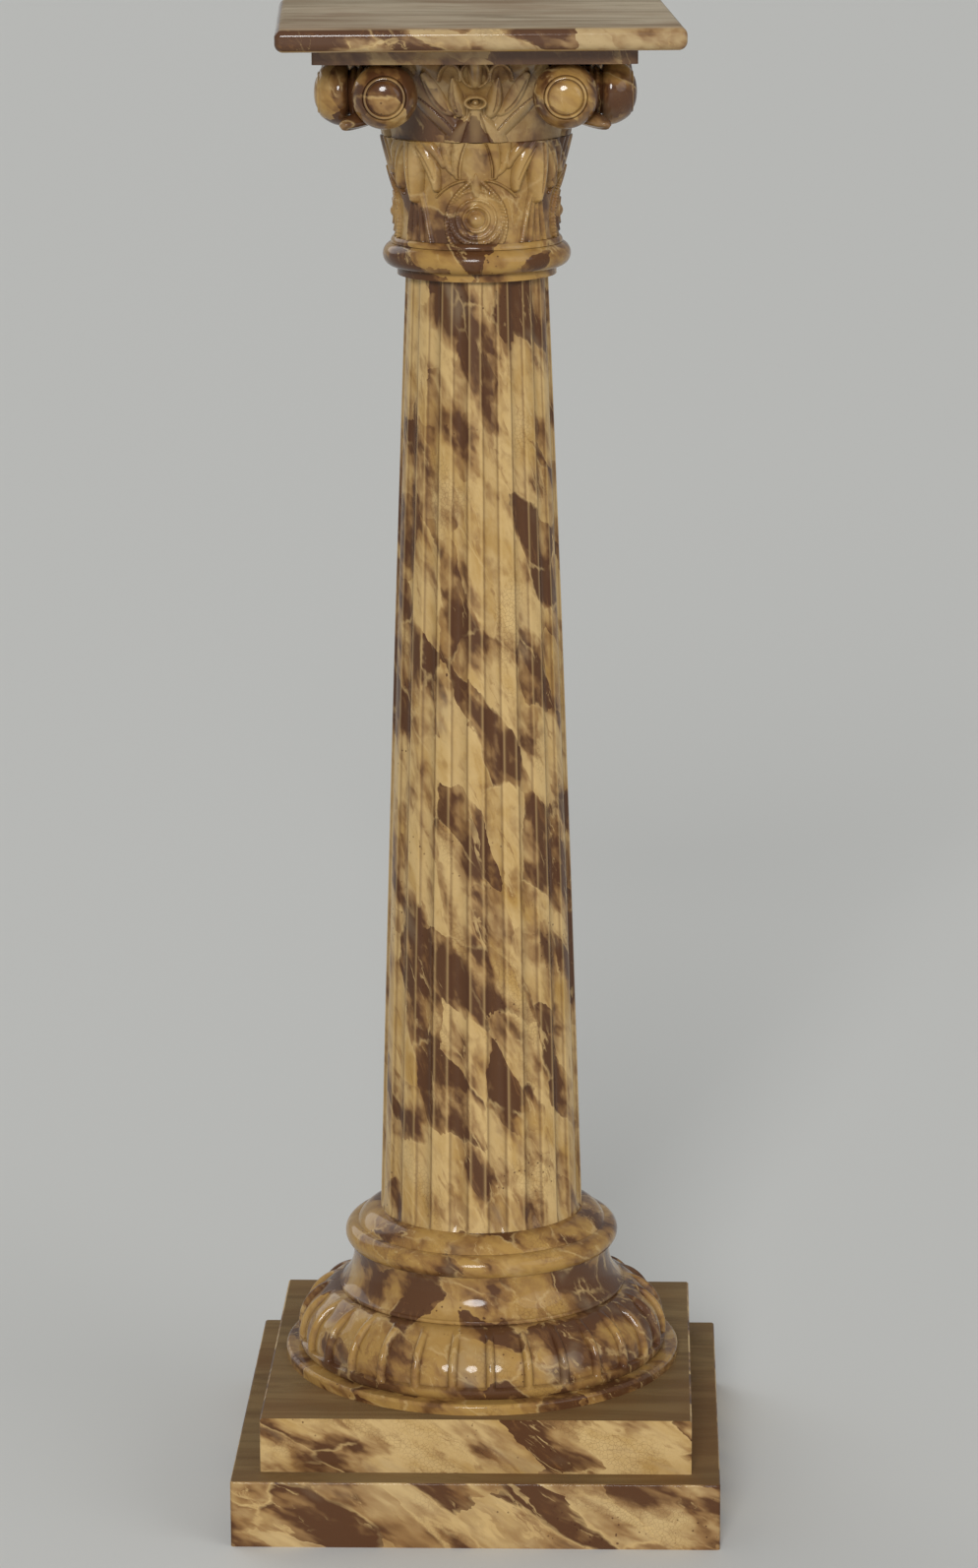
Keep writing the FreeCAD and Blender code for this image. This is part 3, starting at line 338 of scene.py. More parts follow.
def grid_quads(rows, columns, wrap_rows=False, wrap_columns=False):
    """The corner numbers of the quads between the points of a grid, closed where it wraps."""
    number = np.arange(rows * columns).reshape(rows, columns)
    if wrap_rows:
        number = np.vstack([number, number[:1]])
    if wrap_columns:
        number = np.hstack([number, number[:, :1]])
    corners = (number[:-1, :-1], number[:-1, 1:], number[1:, 1:], number[1:, :-1])
    return np.stack(corners, -1).reshape(-1, 4)


def carved_piece(name, points, quads, nodes, material, glaze_shade_highlight=None, sharp=38.0):
    """A closed skin from points in millimetres, standing for the named construction nodes.  At
    each point, the shading given lays dark glaze with painted shade, or pale wear with a painted
    highlight where it is below 0."""
    mesh = bpy.data.meshes.new(name)
    mesh.vertices.add(len(points))
    mesh.vertices.foreach_set("co", (points * MM).astype(np.float32).ravel())
    mesh.loops.add(quads.size)
    mesh.loops.foreach_set("vertex_index", quads.astype(np.int32).ravel())
    mesh.polygons.add(len(quads))
    mesh.polygons.foreach_set("loop_start", np.arange(0, quads.size, 4, dtype=np.int32))
    mesh.update(calc_edges=True)
    shade = mesh.attributes.new("glaze_shade_highlight", "FLOAT", "POINT")
    shade.data.foreach_set("value", np.zeros(len(points)) if glaze_shade_highlight is None else glaze_shade_highlight.ravel())
    work = bmesh.new()
    work.from_mesh(mesh)
    bmesh.ops.remove_doubles(work, verts=work.verts, dist=0.01 * MM)
    bmesh.ops.dissolve_degenerate(work, edges=work.edges, dist=0.005 * MM)
    bmesh.ops.recalc_face_normals(work, faces=work.faces)
    work.to_mesh(mesh)
    work.free()
    mesh.polygons.foreach_set("use_smooth", np.ones(len(mesh.polygons), dtype=bool))
    mesh.set_sharp_from_angle(angle=math.radians(sharp))
    mesh.materials.append(material)
    piece = bpy.data.objects.new(name, mesh)
    scene.collection.objects.link(piece)
    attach(piece, "root")
    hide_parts(*nodes)
    return piece


def round_points(radius, height, angle):
    """Points at a radius and a height, turned anticlockwise from the front by an angle."""
    return np.stack([radius * np.sin(angle), -radius * np.cos(angle),
                     height + 0 * angle], -1).reshape(-1, 3)


def smooth_step(values, low, high):
    """0 below the low value and 1 above the high one, with an even S between them."""
    share = np.clip((values - low) / (high - low), 0, 1)
    return share * share * (3 - 2 * share)


base_paint = tortoiseshell("base_tortoiseshell", 4.0, 1.0, 33.0, 6.6, cover=0.055, warmth=0.2,
                           dusk=0.15)
OVOLO_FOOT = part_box("base_disc")[1][2] / MM
BAND_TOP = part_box("foot_ring")[0][2] / MM
OVOLO_WIDEST = OVOLO_FOOT + 6.0
OVOLO_TOP = OVOLO_FOOT + 44.8
OVOLO_FOOT_RADIUS = 131.5
OVOLO_RADIUS = 134.3
OVOLO_TOP_RADIUS = 104.5
FOOT_BEND = 8.0
OVOLO_BEND = 34.0
FILLET_RADIUS = 104.0
HOLLOW_BEND = -31.0
HOLLOW_RADIUS = 93.4
BASE_BORE = 36.0
RIBS = 30
RIB_TURN = math.radians(4.5)
RIB_HALF = math.radians(1.45)
RIB_PROUD = 4.0
PANEL_SWELL = 0.7
FOOT_POINTS = 7
OVOLO_POINTS = 44
STEPS_PER_RIB = 28
foot_arc = bend((OVOLO_FOOT_RADIUS, OVOLO_FOOT), (OVOLO_RADIUS, OVOLO_WIDEST), FOOT_BEND,
                FOOT_POINTS)
ovolo = bend((OVOLO_RADIUS, OVOLO_WIDEST), (OVOLO_TOP_RADIUS, OVOLO_TOP), OVOLO_BEND, OVOLO_POINTS)
# the fillet is a small roll: its points as offsets from its radius and from the ovolo's top
fillet = (FILLET_RADIUS, OVOLO_TOP) + np.array([
    (-1.6, 0.4), (-0.3, 1.0), (0.0, 2.0), (-0.4, 3.2), (-1.8, 3.8)])
hollow_band = bend((FILLET_RADIUS - 2.0, OVOLO_TOP + 3.9), (HOLLOW_RADIUS, BAND_TOP - 3.0),
                   HOLLOW_BEND, 20)
profile = np.vstack([
    foot_arc[:-1], ovolo, fillet, hollow_band,
    [(HOLLOW_RADIUS + 0.8, BAND_TOP - 0.4), (HOLLOW_RADIUS + 0.8, BAND_TOP), (BASE_BORE, BAND_TOP),
     (BASE_BORE, OVOLO_FOOT)]])
along = np.gradient(profile, axis=0)
outward = np.stack([along[:, 1], -along[:, 0]], -1) / np.hypot(*along.T)[:, None]
# how deep the panels lie: square at the foot, dying out towards the fillet
share = np.full(len(profile), -1.0)
share[FOOT_POINTS - 1:FOOT_POINTS - 1 + OVOLO_POINTS] = np.linspace(0, 1, OVOLO_POINTS)
sunk = RIB_PROUD * smooth_step(share, 0.02, 0.05) * (1 - smooth_step(share, 0.62, 0.97))
angle = np.linspace(0, 2 * math.pi, RIBS * STEPS_PER_RIB, endpoint=False)
off_rib = np.abs((angle - RIB_TURN + math.pi / RIBS) % (2 * math.pi / RIBS) - math.pi / RIBS)
bar = np.clip(1 - (off_rib / RIB_HALF) ** 2.6, 0, 1) ** 0.8
across = np.clip((off_rib - RIB_HALF) / (math.pi / RIBS - RIB_HALF), 0, 1)
floor_lift = PANEL_SWELL * (1 - (1 - across) ** 2)
drop = sunk[:, None] * (1 - bar - (1 - bar) * floor_lift / RIB_PROUD)
radius = profile[:, :1] - outward[:, :1] * drop
height = profile[:, 1:] - outward[:, 1:] * drop
# glaze and painted shade lie dark beside each rib and at the panels' feet, where a painted shadow
# falls; wear and a painted highlight lie pale along the ribs
beside = np.exp(-((off_rib - RIB_HALF) / (0.3 * RIB_HALF)) ** 2)
glaze_shading = (0.48 * beside - 0.34 * bar) * (sunk / RIB_PROUD)[:, None]
feet_shadow = np.exp(-((share - 0.045) / 0.018) ** 2)[:, None] * (1 - bar)
glaze_shading = np.maximum(glaze_shading, 0.38 * feet_shadow)
carved_piece("painted_gadrooned_base", round_points(radius, height, angle + 0 * radius),
             grid_quads(len(profile), len(angle), True, True), ["gadrooned_base"], base_paint,
             glaze_shading)

# ---------------------------------------------------------------- fluted shaft
# A tapering turned shaft with a slight swell and sixteen shallow flutes, scraped with a round
# cutter; glaze and painted shade lie dark inside the flutes' edges, and wear with a painted
# highlight lies pale just outside them.
shaft_paint = tortoiseshell("shaft_tortoiseshell", 5.4, 0.52, 43.0, 1.7, cover=0.035)
SHAFT_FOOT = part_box("foot_ring")[1][2] / MM
SHAFT_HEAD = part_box("neck_ring")[0][2] / MM
FOOT_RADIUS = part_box("fluted_shaft")[1][0] / MM
NECK_RADIUS = 49.8
SHAFT_SWELL = 1.0
FLUTES = 16
FLUTE_HALF = math.radians(6.2)
FLUTE_DEPTH = 3.4
EDGE_ROUND = 0.45
SHAFT_BORE = 30.0
STEPS_PER_FLUTE = 36
SHAFT_ROWS = 90
share = np.linspace(0, 1, SHAFT_ROWS)[:, None]
body = FOOT_RADIUS + (NECK_RADIUS - FOOT_RADIUS) * share + 4 * SHAFT_SWELL * share * (1 - share)
angle = np.linspace(0, 2 * math.pi, FLUTES * STEPS_PER_FLUTE, endpoint=False)
across = np.abs(angle % (2 * math.pi / FLUTES) - math.pi / FLUTES) / FLUTE_HALF
cut = FLUTE_DEPTH * body / FOOT_RADIUS * (1 - across ** 2)
depth = (cut + np.sqrt(cut ** 2 + EDGE_ROUND ** 2)) / 2
depth = depth * smooth_step(share, -0.001, 0.004)
inside = np.full((1, len(angle)), SHAFT_BORE)
radius = np.vstack([inside, body - depth, inside])
height = np.concatenate([[SHAFT_FOOT], SHAFT_FOOT + (SHAFT_HEAD - SHAFT_FOOT) * share[:, 0],
                         [SHAFT_HEAD]])[:, None] + 0 * radius
# glaze and painted shade inside the flutes' edges, wear and a painted highlight on the arrises
glaze_shading = (0.45 * np.exp(-((across - 0.86) / 0.13) ** 2) + 0.10 * (across < 0.86)
         - 0.42 * np.exp(-((across - 1.13) / 0.13) ** 2))
carved_piece("painted_fluted_shaft", round_points(radius, height, angle + 0 * radius),
             grid_quads(*radius.shape, True, True), ["fluted_shaft"], shaft_paint,
             glaze_shading + 0 * radius, sharp=60.0)

# ---------------------------------------------------------------- bell of the capital
# The turned bell is carved all round: a drooping leaf on stems at each corner, and a rosette in
# a pointed frame under a domed tongue in the middle of each face.  Each is carved and glued on.
capital_paint = tortoiseshell("capital_tortoiseshell", 4.0, 1.0, 34.0, 2.3, cover=0.085,
                              warmth=0.16, dusk=0.15, coat_ior=1.45)
block_paint = tortoiseshell("block_tortoiseshell", 4.0, 1.0, 30.0, 7.3, cover=0.07, warmth=0.06,
                            dusk=0.36, coat_ior=1.45)
dress(["capital_bell"], capital_paint)
dress(["capital_block", "abacus"], block_paint)
BELL_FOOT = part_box("capital_bell")[0][2] / MM
BLOCK_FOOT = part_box("capital_block")[0][2] / MM
BLOCK_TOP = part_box("capital_block")[1][2] / MM
CAPITAL_TURN = math.radians(1.5)
BELL_RADIUS = 56.0
BELL_TOP_RADIUS = 63.5
BELL_STRAIGHT = 19.0
BELL_RISE = BLOCK_FOOT - BELL_FOOT
BELL_FLARE = BELL_TOP_RADIUS - BELL_RADIUS
BELL_CURVE = ((BELL_RISE - BELL_STRAIGHT) ** 2 + BELL_FLARE ** 2) / (2 * BELL_FLARE)
HIDDEN = 0.7
BACK = 4.0
POINTS_PER_MM = 2
JOINT_CLEAR = 0.3
ROSETTE_REACH = 30.0
ROSETTE_TOP = 50.0
TONGUE_REACH = 28.0
TONGUE_FOOT = 44.0
LEAF_REACH = 27.0
LEAF_TOP = BELL_RISE - 0.4


def bell_radius(height):
    """The bell's radius at a height over its foot: upright, then a hollow curve that flares."""
    rise = np.clip(height - BELL_STRAIGHT, 0, None)
    return BELL_RADIUS + BELL_CURVE - np.sqrt(BELL_CURVE ** 2 - rise ** 2)


def curve(points, count=26):
    """A smooth stroke drawn by its points, the Bezier curve that they span.  Each point is its
    place across, its height over the foot of the ground, its half width and how proud it is."""
    points = np.array(points, float)
    order = len(points) - 1
    share = np.linspace(0, 1, count)[:, None]
    return sum(math.comb(order, index) * share ** index * (1 - share) ** (order - index) * point
               for index, point in enumerate(points))


def oval(across, up, half_across, half_up, half_width, proud, count=48):
    """A closed oval stroke about a middle."""
    turn = np.linspace(0, 2 * math.pi, count)
    return np.stack([across + half_across * np.sin(turn), up + half_up * np.cos(turn),
                     half_width + 0 * turn, proud + 0 * turn], -1)


def both_sides(strokes):
    """Strokes and their mirror images."""
    return strokes + [stroke * (-1, 1, 1, 1) for stroke in strokes]


def ridges(across, up, strokes, least):
    """The highest of the strokes at each place, but no less than a least height.  Each point of a
    stroke stands as proud as it says and falls away as a parabola to 0 at its half width."""
    height = np.full(across.shape, least)
    for stroke in strokes:
        away = (across[..., None] - stroke[:, 0]) ** 2 + (up[..., None] - stroke[:, 1]) ** 2
        height = np.maximum(height, (stroke[:, 3] * (1 - away / stroke[:, 2] ** 2)).max(-1))
    return height


def carved_on(name, node, ground, foot, reach, low, high, turn, raised, grooves, material):
    """A carving in relief as a closed skin.  Its face stands over the round ground by the height of
    its raised strokes less its grooves, and its back lies a little inside the ground; low and high
    are heights over the ground's foot."""
    across, up = np.meshgrid(np.linspace(-reach, reach, int(2 * reach * POINTS_PER_MM)),
                             np.linspace(low, high, int((high - low) * POINTS_PER_MM)))
    cut = ridges(across, up, grooves, 0.0)
    height = np.maximum(ridges(across, up, raised, -HIDDEN) - cut, -HIDDEN)
    slope = np.hypot(*np.gradient(height, (high - low) / len(up), 2 * reach / across.shape[1]))
    radius = ground(up)
    angle = across / radius + turn + CAPITAL_TURN
    face = round_points(radius + height, foot + up, angle)
    rows, columns = up.shape
    number = np.arange(rows * columns).reshape(rows, columns)
    rim = np.concatenate([number[0, :-1], number[:-1, -1], number[-1, :0:-1], number[:0:-1, 0]])
    # the back: the rim sunk into the ground, drawn together to a point behind the middle
    rim_angle, rim_up = angle.ravel()[rim], up.ravel()[rim]
    behind = round_points(ground(rim_up) - BACK, foot + rim_up, rim_angle)
    middle = round_points(ground(rim_up).mean() - 2 * BACK, foot + (low + high) / 2 + 0 * rim_up,
                          turn + CAPITAL_TURN + 0 * rim_up)
    belt = np.stack([rim, np.arange(len(rim)) + number.size,
                     np.arange(len(rim)) + number.size + len(rim)])
    ahead = np.roll(belt, -1, axis=1)
    walls = np.stack([belt[:-1], ahead[:-1], ahead[1:], belt[1:]], -1).reshape(-1, 4)
    # glaze and painted shade lie dark in the cuts and at the foot of each ridge; wear and a painted
    # highlight lie pale along its crown
    shade = 0.35 * np.clip(cut, 0, 1) + 0.20 * smooth_step(slope, 0.6, 1.8)
    shade = shade + 0.30 * np.exp(-(height / 0.5) ** 2) - 0.22 * smooth_step(height, 2.0, 4.5)
    return carved_piece(name, np.vstack([face, behind, middle]),
                        np.vstack([grid_quads(rows, columns), walls]), [node], material,
                        np.concatenate([shade.ravel(), np.zeros(2 * len(rim))]), sharp=70.0)


LEAF = [curve([(0, 69, 8, 2), (0, 58, 11, 8), (0, 46, 9, 11), (0, 30, 4.5, 8)])]
LEAF += both_sides([
    curve([(4, 68, 6, 2), (12, 62, 8, 5), (17, 50, 7, 6.5), (17, 38, 3.5, 5)]),
    curve([(12, 69, 5, 2), (21, 65, 5, 5), (24, 54, 3, 3)]),
    curve([(3, 38, 2.4, 3.0), (6, 24, 2.4, 2.6), (11, 0, 2.6, 2.4)]),
    curve([(1.5, 34, 2.2, 2.6), (2, 20, 2.2, 2.4), (4, 0, 2.4, 2.0)])])
LEAF_VEINS = [curve([(0, 68, 1.0, 1.4), (0, 49, 1.2, 1.8), (0, 34, 0.8, 1.0)])]
LEAF_VEINS += both_sides([curve([(6, 66, 0.8, 1.0), (13, 58, 1.0, 1.3), (17, 44, 0.8, 0.9)])])
ROSETTE = [np.array([(0, 17, 6.2, 4.2)]), oval(0, 17, 8.6, 8.6, 1.7, 2.9),
           oval(0, 17, 13.2, 13.4, 1.9, 2.3), oval(0, 18, 18.6, 18.8, 1.8, 1.9),
           np.array([(0, 18, 22, 1.4)]),
           curve([(0, 48, 2.0, 4.6), (0, 41, 5.5, 4.2), (0, 34, 3.0, 2.4)])]
ROSETTE += both_sides([
    curve([(0, 48, 2.0, 3.6), (3, 40, 2.0, 3.2), (22, 34, 2.0, 3.0), (25, 14, 2.0, 3.0),
           (17, 0, 2.4, 3.0)]),
    curve([(4, 44, 1.3, 2.8), (16, 44, 1.3, 2.6), (28, 32, 1.3, 2.2)])])
ROSETTE_CUTS = [oval(0, 17, 6.2, 6.2, 0.7, 0.9)]
TONGUE = [curve([(0.8, 45, 11.5, 2.8), (0.8, 56, 11.5, 4.6), (0.8, 67, 7.0, 4.0)])]
TONGUE += both_sides([
    curve([(13, 46, 2.2, 2.2), (16, 54, 4.0, 3.0), (11, 69, 5.0, 2.4)]),
    curve([(14, 48, 2.0, 2.2), (23, 52, 3.2, 2.8), (21, 69, 4.4, 2.0)])])
TONGUE_CUTS = both_sides([curve([(11.6, 46, 0.9, 1.6), (11.8, 58, 0.9, 1.6),
                                (7.0, 69, 0.9, 1.2)])])
for index, side in enumerate(SIDES):
    turn = index * math.pi / 2
    carved_on(f"painted_bell_rosette_{side}", f"bell_rosette_{side}", bell_radius, BELL_FOOT,
              ROSETTE_REACH, JOINT_CLEAR, ROSETTE_TOP, turn, ROSETTE, ROSETTE_CUTS, capital_paint)
    carved_on(f"painted_bell_tongue_{side}", f"bell_tongue_{side}", bell_radius, BELL_FOOT,
              TONGUE_REACH, TONGUE_FOOT, BELL_RISE - JOINT_CLEAR, turn, TONGUE, TONGUE_CUTS,
              capital_paint)
CORNERS = ("front_right", "back_right", "back_left", "front_left")
for index, corner in enumerate(CORNERS):
    carved_on(f"painted_bell_leaf_{corner}", f"bell_leaf_{corner}", bell_radius, BELL_FOOT,
              LEAF_REACH, JOINT_CLEAR, LEAF_TOP, (index + 0.5) * math.pi / 2, LEAF, LEAF_VEINS,
              capital_paint)

# ---------------------------------------------------------------- palmettes on the block
# In the middle of each face of the block a stem rises through a knot to a bud in an oval frame,
# with pointed leaves, curled leaves and two stalks that reach up to the scrolls; carved, glued on.
BLOCK_RADIUS = 62.5
BLOCK_CURVE = 64.3
PALMETTE_REACH = 50.0


def block_radius(height):
    """The block's radius at a height over its foot: upright, then a hollow curve that flares."""
    rise = np.clip(height, 0, None)
    return BLOCK_RADIUS + BLOCK_CURVE - np.sqrt(BLOCK_CURVE ** 2 - rise ** 2)


PALMETTE = [curve([(0, -1, 9.0, 3.0), (0, 10, 6.5, 5.0), (0, 24, 5.0, 5.5)]),
            curve([(0, 41, 4.5, 8.0), (0, 50, 6.6, 11.5), (0, 57, 4.5, 9.0)]),
            oval(0, 49, 9.0, 10.0, 1.5, 6.0),
            oval(0, 28, 6.5, 4.0, 2.0, 7.5), np.array([(0, 28, 3.0, 8.0)])]
PALMETTE += both_sides([
    curve([(2, 16, 4.0, 3.5), (10, 12, 6.0, 4.5), (15, -1, 8.0, 3.0)]),
    curve([(10, 20, 4.0, 4.5), (14, 26, 7.5, 7.0), (13.5, 36, 6.0, 7.0), (15, 45, 1.6, 5.0)]),
    curve([(17, 20, 3.0, 3.5), (26, 24, 7.5, 5.0), (29, 36, 7.5, 5.5), (36, 47, 3.0, 4.5)]),
    curve([(10, 44, 1.8, 4.5), (8, 58, 2.0, 6.5), (22, 62, 2.2, 6.0), (25, 44, 1.8, 4.5)]),
    curve([(13, 5, 5.5, 2.6), (22, 17, 8.0, 4.2), (38, 26, 8.5, 4.6), (51, 50, 8.0, 5.0)])])
PALMETTE_CUTS = both_sides([
    curve([(12, 22, 0.9, 1.4), (14.5, 28, 1.1, 2.0), (14, 36, 0.9, 1.6), (15, 43, 0.7, 1.0)]),
    curve([(20, 22, 0.9, 1.2), (28, 28, 1.0, 1.5), (34, 43, 0.8, 1.0)]),
    curve([(15, 9, 0.9, 1.4), (26, 23, 1.0, 1.6), (46, 36, 0.9, 1.2)]),
    curve([(3.5, 20, 0.8, 1.3), (5.5, 10, 0.9, 1.5), (9, 0, 0.9, 1.2)])])
for index, side in enumerate(SIDES):
    carved_on(f"painted_palmette_{side}", f"palmette_{side}", block_radius, BLOCK_FOOT,
              PALMETTE_REACH, JOINT_CLEAR, BLOCK_TOP - BLOCK_FOOT - JOINT_CLEAR, index * math.pi / 2,
              PALMETTE, PALMETTE_CUTS, block_paint)

# ---------------------------------------------------------------- volutes
# At each corner two short turned bolsters cross, one facing each side: a waist with a beaded
# belt, a swollen end and a domed eye; a short blunt leaf hangs under the crossing.
SCROLL_OFFSET = 61.0
SCROLL_LEVEL = BLOCK_TOP - 22.5
SCROLL_END = 49.0
SCROLL_RADIUS = 22.3
SCROLL_BACK = 24.8
WAIST_RADIUS = 15.5
BELT_START = 10.5
BELT_END = 23.5
BELT_RADIUS = 16.6
BEADS = 3
BEAD_PROUD = 1.5
EYE_RADIUS = 14.2
EYE_PROUD = 4.2
# glaze and painted shade in the bolsters' seams and grooves; wear and a painted highlight on the ring
SEAM_GLAZE_SHADE = 0.25
RING_GLAZE_SHADE = 0.4
RING_WEAR_HIGHLIGHT = -0.3
TIP_START = 66.0
TIP_REACH = 25.0
TIP_DROP = 13.0
TIP_FALL = 7.0
TIP_HALF = 9.0
SCROLL_STEPS = 72


def bolster():
    """The radius of a bolster against the distance along its axis, and the glaze and painted shade on
    it, dark in its seams and grooves, with wear and a painted highlight pale on its ring: a waist,
    beads on a belt, a barrel that is fullest towards its back, a raised ring, a groove and a dome."""
    waist = [(0.0, 0.0), (WAIST_RADIUS - 0.5, 0.0), (WAIST_RADIUS, BELT_START - 0.5)]
    belt_along = np.linspace(BELT_START, BELT_END, 40)
    belt_share = (belt_along - BELT_START) / (BELT_END - BELT_START)
    belt = BELT_RADIUS + BEAD_PROUD * np.abs(np.sin(math.pi * belt_share * BEADS))
    face = SCROLL_END - EYE_PROUD
    share = np.linspace(-1, 1, 36)
    swell = np.sin(math.pi * ((share + 1) / 2) ** 0.62) ** 0.75
    barrel = EYE_RADIUS + 0.9 + (SCROLL_RADIUS - EYE_RADIUS - 0.9) * swell
    barrel_along = (SCROLL_BACK + face) / 2 + share * (face - SCROLL_BACK) / 2
    ring = (EYE_RADIUS, face) + np.array([
        (0.4, -1.2), (0.0, 0.6), (-0.6, 1.5), (-1.4, 1.6), (-2.0, 0.9), (-2.3, 0.0)])
    dome = np.linspace(0, math.pi / 2, 14)
    eye = np.stack([(EYE_RADIUS - 2.6) * np.cos(dome), face + EYE_PROUD * np.sin(dome) ** 0.9], -1)
    outline = np.vstack([waist, np.stack([belt, belt_along], -1), [(WAIST_RADIUS, BELT_END + 0.7)],
                         np.stack([barrel, barrel_along], -1), ring, eye])
    belt_glaze_shading = np.zeros(len(belt))
    belt_glaze_shading[[0, -1]] = SEAM_GLAZE_SHADE
    barrel_glaze_shading = np.zeros(len(barrel))
    barrel_glaze_shading[0] = SEAM_GLAZE_SHADE
    ring_glaze_shading = (RING_GLAZE_SHADE, 0.0, RING_WEAR_HIGHLIGHT, RING_WEAR_HIGHLIGHT, RING_GLAZE_SHADE, RING_GLAZE_SHADE)
    eye_glaze_shading = np.zeros(len(eye))
    eye_glaze_shading[0] = RING_GLAZE_SHADE
    return outline, np.concatenate([(0.0, SEAM_GLAZE_SHADE, SEAM_GLAZE_SHADE), belt_glaze_shading, (SEAM_GLAZE_SHADE,),
                                    barrel_glaze_shading, ring_glaze_shading, eye_glaze_shading])


def hanging_leaf(rows=24, columns=28):
    """A short leaf that hangs outwards and down along the corner: ovals strung on a line, full at
    first and then closing to a blunt end, with a groove along its underside."""
    share = np.linspace(0, 1, rows)[:, None]
    turn = np.linspace(0, 2 * math.pi, columns, endpoint=False)
    run = TIP_START + TIP_REACH * share
    level = SCROLL_LEVEL - TIP_DROP - TIP_FALL * share
    size = TIP_HALF * np.sqrt(np.clip(1 - share ** 3, 0, 1))
    spread = size * np.cos(turn)
    lift = 0.6 * size * np.sin(turn) - 1.2 * np.exp(-(spread / 1.2) ** 2) * (np.sin(turn) < 0)
    aside = spread * math.sqrt(0.5)
    points = np.stack([run + aside, -run + aside, level + lift], -1).reshape(-1, 3)
    return points, grid_quads(rows, columns, False, True)


scroll_paint = tortoiseshell("scroll_tortoiseshell", 4.0, 1.0, 30.0, 9.2, cover=0.15, warmth=0.12,
                             dusk=0.03, coat_ior=1.45)
outline, outline_glaze_shading = bolster()
turn = np.linspace(0, 2 * math.pi, SCROLL_STEPS, endpoint=False)
away = outline[:, :1]
out = outline[:, 1:] + 0 * turn
ring_x = away * np.cos(turn)
ring_z = away * np.sin(turn)
to_front = np.stack([SCROLL_OFFSET + ring_x, -SCROLL_OFFSET - out, SCROLL_LEVEL + ring_z],
                    -1).reshape(-1, 3)
to_side = np.stack([SCROLL_OFFSET + out, -SCROLL_OFFSET - ring_x, SCROLL_LEVEL + ring_z],
                   -1).reshape(-1, 3)
leaf, leaf_quads = hanging_leaf()
bolster_quads = grid_quads(len(outline), len(turn), False, True)
bolster_glaze_shading = (outline_glaze_shading[:, None] + 0 * turn).ravel()
points = np.vstack([to_front, to_side, leaf])
quads = np.vstack([bolster_quads, bolster_quads + len(to_front), leaf_quads + 2 * len(to_front)])
glaze_shading = np.concatenate([bolster_glaze_shading, bolster_glaze_shading, np.zeros(len(leaf))])
for index, corner in enumerate(CORNERS):
    spin = Matrix.Rotation(index * math.pi / 2 + CAPITAL_TURN, 3, "Z")
    carved_piece(f"painted_volute_{corner}", points @ np.array(spin).T, quads,
                 [f"volute_{corner}"], scroll_paint, glaze_shading, sharp=50.0)

# ---------------------------------------------------------------- top slab
# A square slab with bullnosed edges, dowelled down through the abacus; its top is plainly brushed
# and its edge is marbled.
SLAB_STREAKS = ((0.500, 0.415, 0.290, 1.0), (0.300, 0.235, 0.150, 1.0))
slab_paint = tortoiseshell("slab_tortoiseshell", 3.0, 1.6, 26.0, 4.4, cover=0.115, haze=0.45,
                           gloss=1.0, coat_ior=1.42, streaks=SLAB_STREAKS)
dress(["top_slab"], slab_paint)

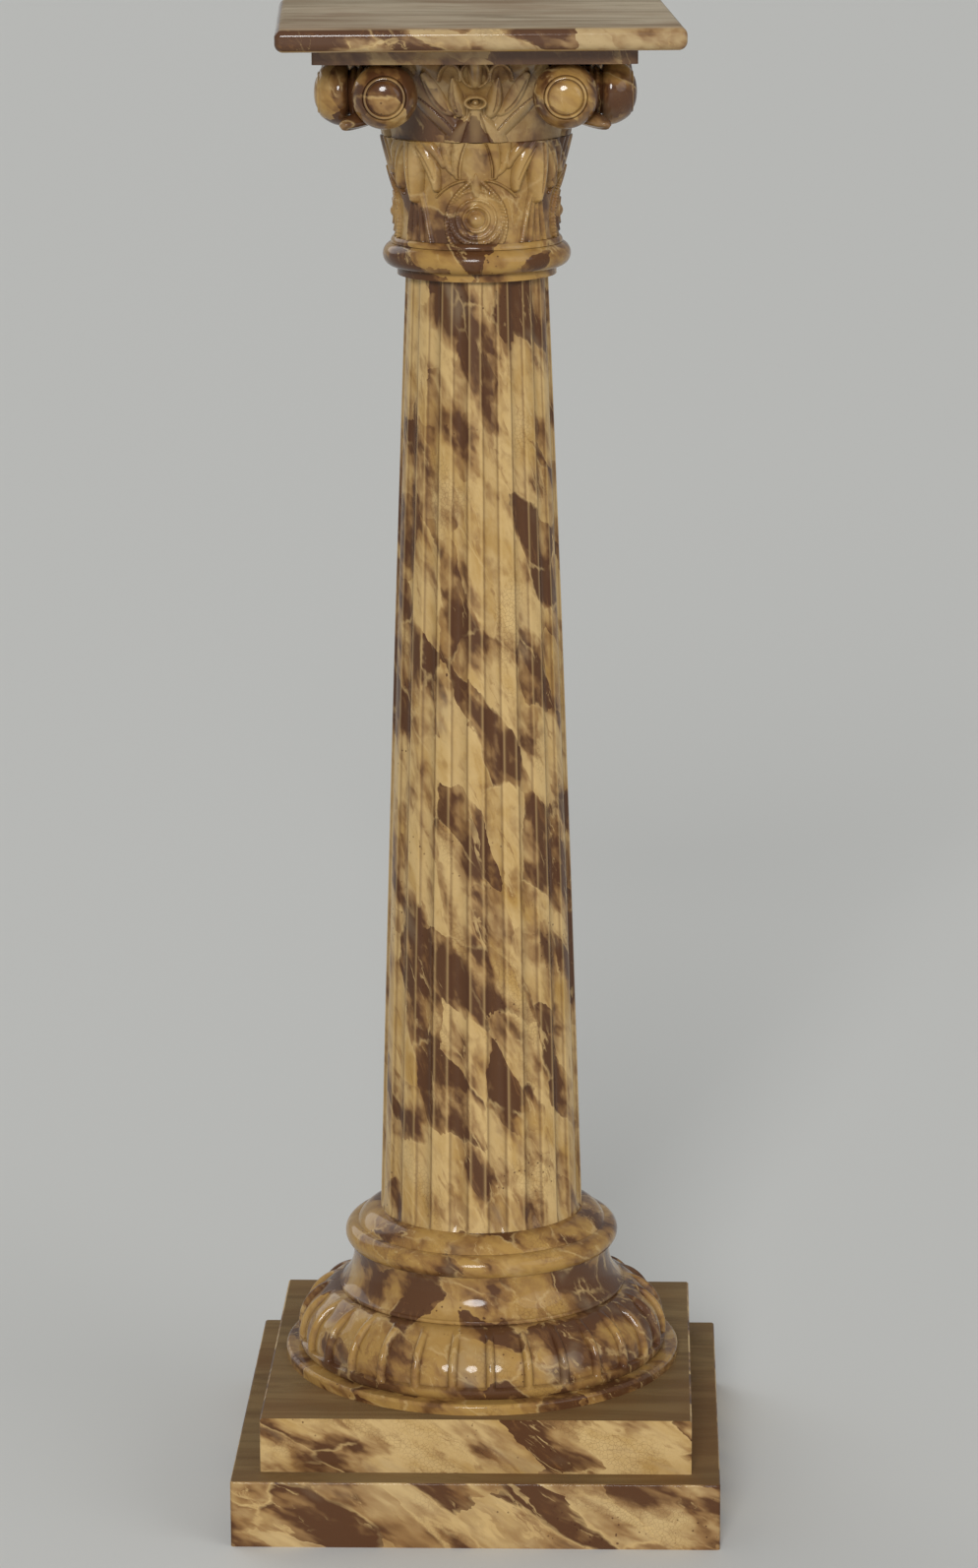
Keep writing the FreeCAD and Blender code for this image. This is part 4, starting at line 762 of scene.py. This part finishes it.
# ---------------------------------------------------------------- studio
# A plain pale floor, soft lamps and the camera.  None of them is part of the object.
FLOOR_HALF = 30.0
FLOOR_GREY = (0.66, 0.665, 0.645, 1.0)
SKY_GREY = (0.80, 0.80, 0.79, 1.0)
SKY_STRENGTH = 0.42
LAMP_AIM = (0.0, 0.0, 0.6)
floor_mesh = bpy.data.meshes.new("floor")
floor_mesh.from_pydata([(-FLOOR_HALF, -FLOOR_HALF, 0), (FLOOR_HALF, -FLOOR_HALF, 0),
                        (FLOOR_HALF, FLOOR_HALF, 0), (-FLOOR_HALF, FLOOR_HALF, 0)],
                       [], [(0, 1, 2, 3)])
floor = bpy.data.objects.new("floor", floor_mesh)
scene.collection.objects.link(floor)
floor_paint, tree = new_material("pale_floor")
surface = shader_node(tree, "BsdfPrincipled", {
    "Base Color": FLOOR_GREY, "Roughness": 0.7})
shader_node(tree, "OutputMaterial", {"Surface": surface.outputs[0]})
floor_mesh.materials.append(floor_paint)

world = bpy.data.worlds.new("studio")
world.use_nodes = True
world.node_tree.nodes["Background"].inputs["Color"].default_value = SKY_GREY
world.node_tree.nodes["Background"].inputs["Strength"].default_value = SKY_STRENGTH
scene.world = world


def soft_sun(name, place, energy, spread):
    """A sun lamp that shines from the side of a place towards the middle of the stand, softened
    by the angle in degrees that it is spread over."""
    lamp = bpy.data.lights.new(name, "SUN")
    lamp.energy = energy
    lamp.angle = math.radians(spread)
    holder = bpy.data.objects.new(name, lamp)
    scene.collection.objects.link(holder)
    way = np.subtract(LAMP_AIM, place)
    forward = way / np.linalg.norm(way)
    right = np.cross(forward, (0, 0, 1))
    right /= np.linalg.norm(right)
    up = np.cross(right, forward)
    turn = Matrix((right, up, -forward)).transposed().to_4x4()
    holder.matrix_world = Matrix.Translation(place) @ turn


soft_sun("key", (-0.25, -3.0, 1.85), 1.95, 18)
soft_sun("fill", (2.6, -1.8, 1.8), 0.55, 40)
soft_sun("back", (-2.2, 2.4, 2.4), 0.5, 40)

# the camera stands where the photograph was taken from, looking a little down
CAMERA_PLACE = (0.1149, -3.4826, 1.3257)
CAMERA_TURN = math.radians(1.777)
CAMERA_DIP = math.radians(13.134)
CAMERA_ROLL = math.radians(-0.253)
FOCAL_PIXELS = 5086.2
PICTURE_HEIGHT = 1593
lens = bpy.data.cameras.new("camera")
lens.lens = FOCAL_PIXELS * lens.sensor_width / PICTURE_HEIGHT
camera = bpy.data.objects.new("camera", lens)
scene.collection.objects.link(camera)
camera.matrix_world = (Matrix.Translation(CAMERA_PLACE)
                       @ Matrix.Rotation(CAMERA_TURN, 4, "Z")
                       @ Matrix.Rotation(math.pi / 2 - CAMERA_DIP, 4, "X")
                       @ Matrix.Rotation(CAMERA_ROLL, 4, "Z"))
scene.camera = camera
scene.view_settings.view_transform = "Standard"
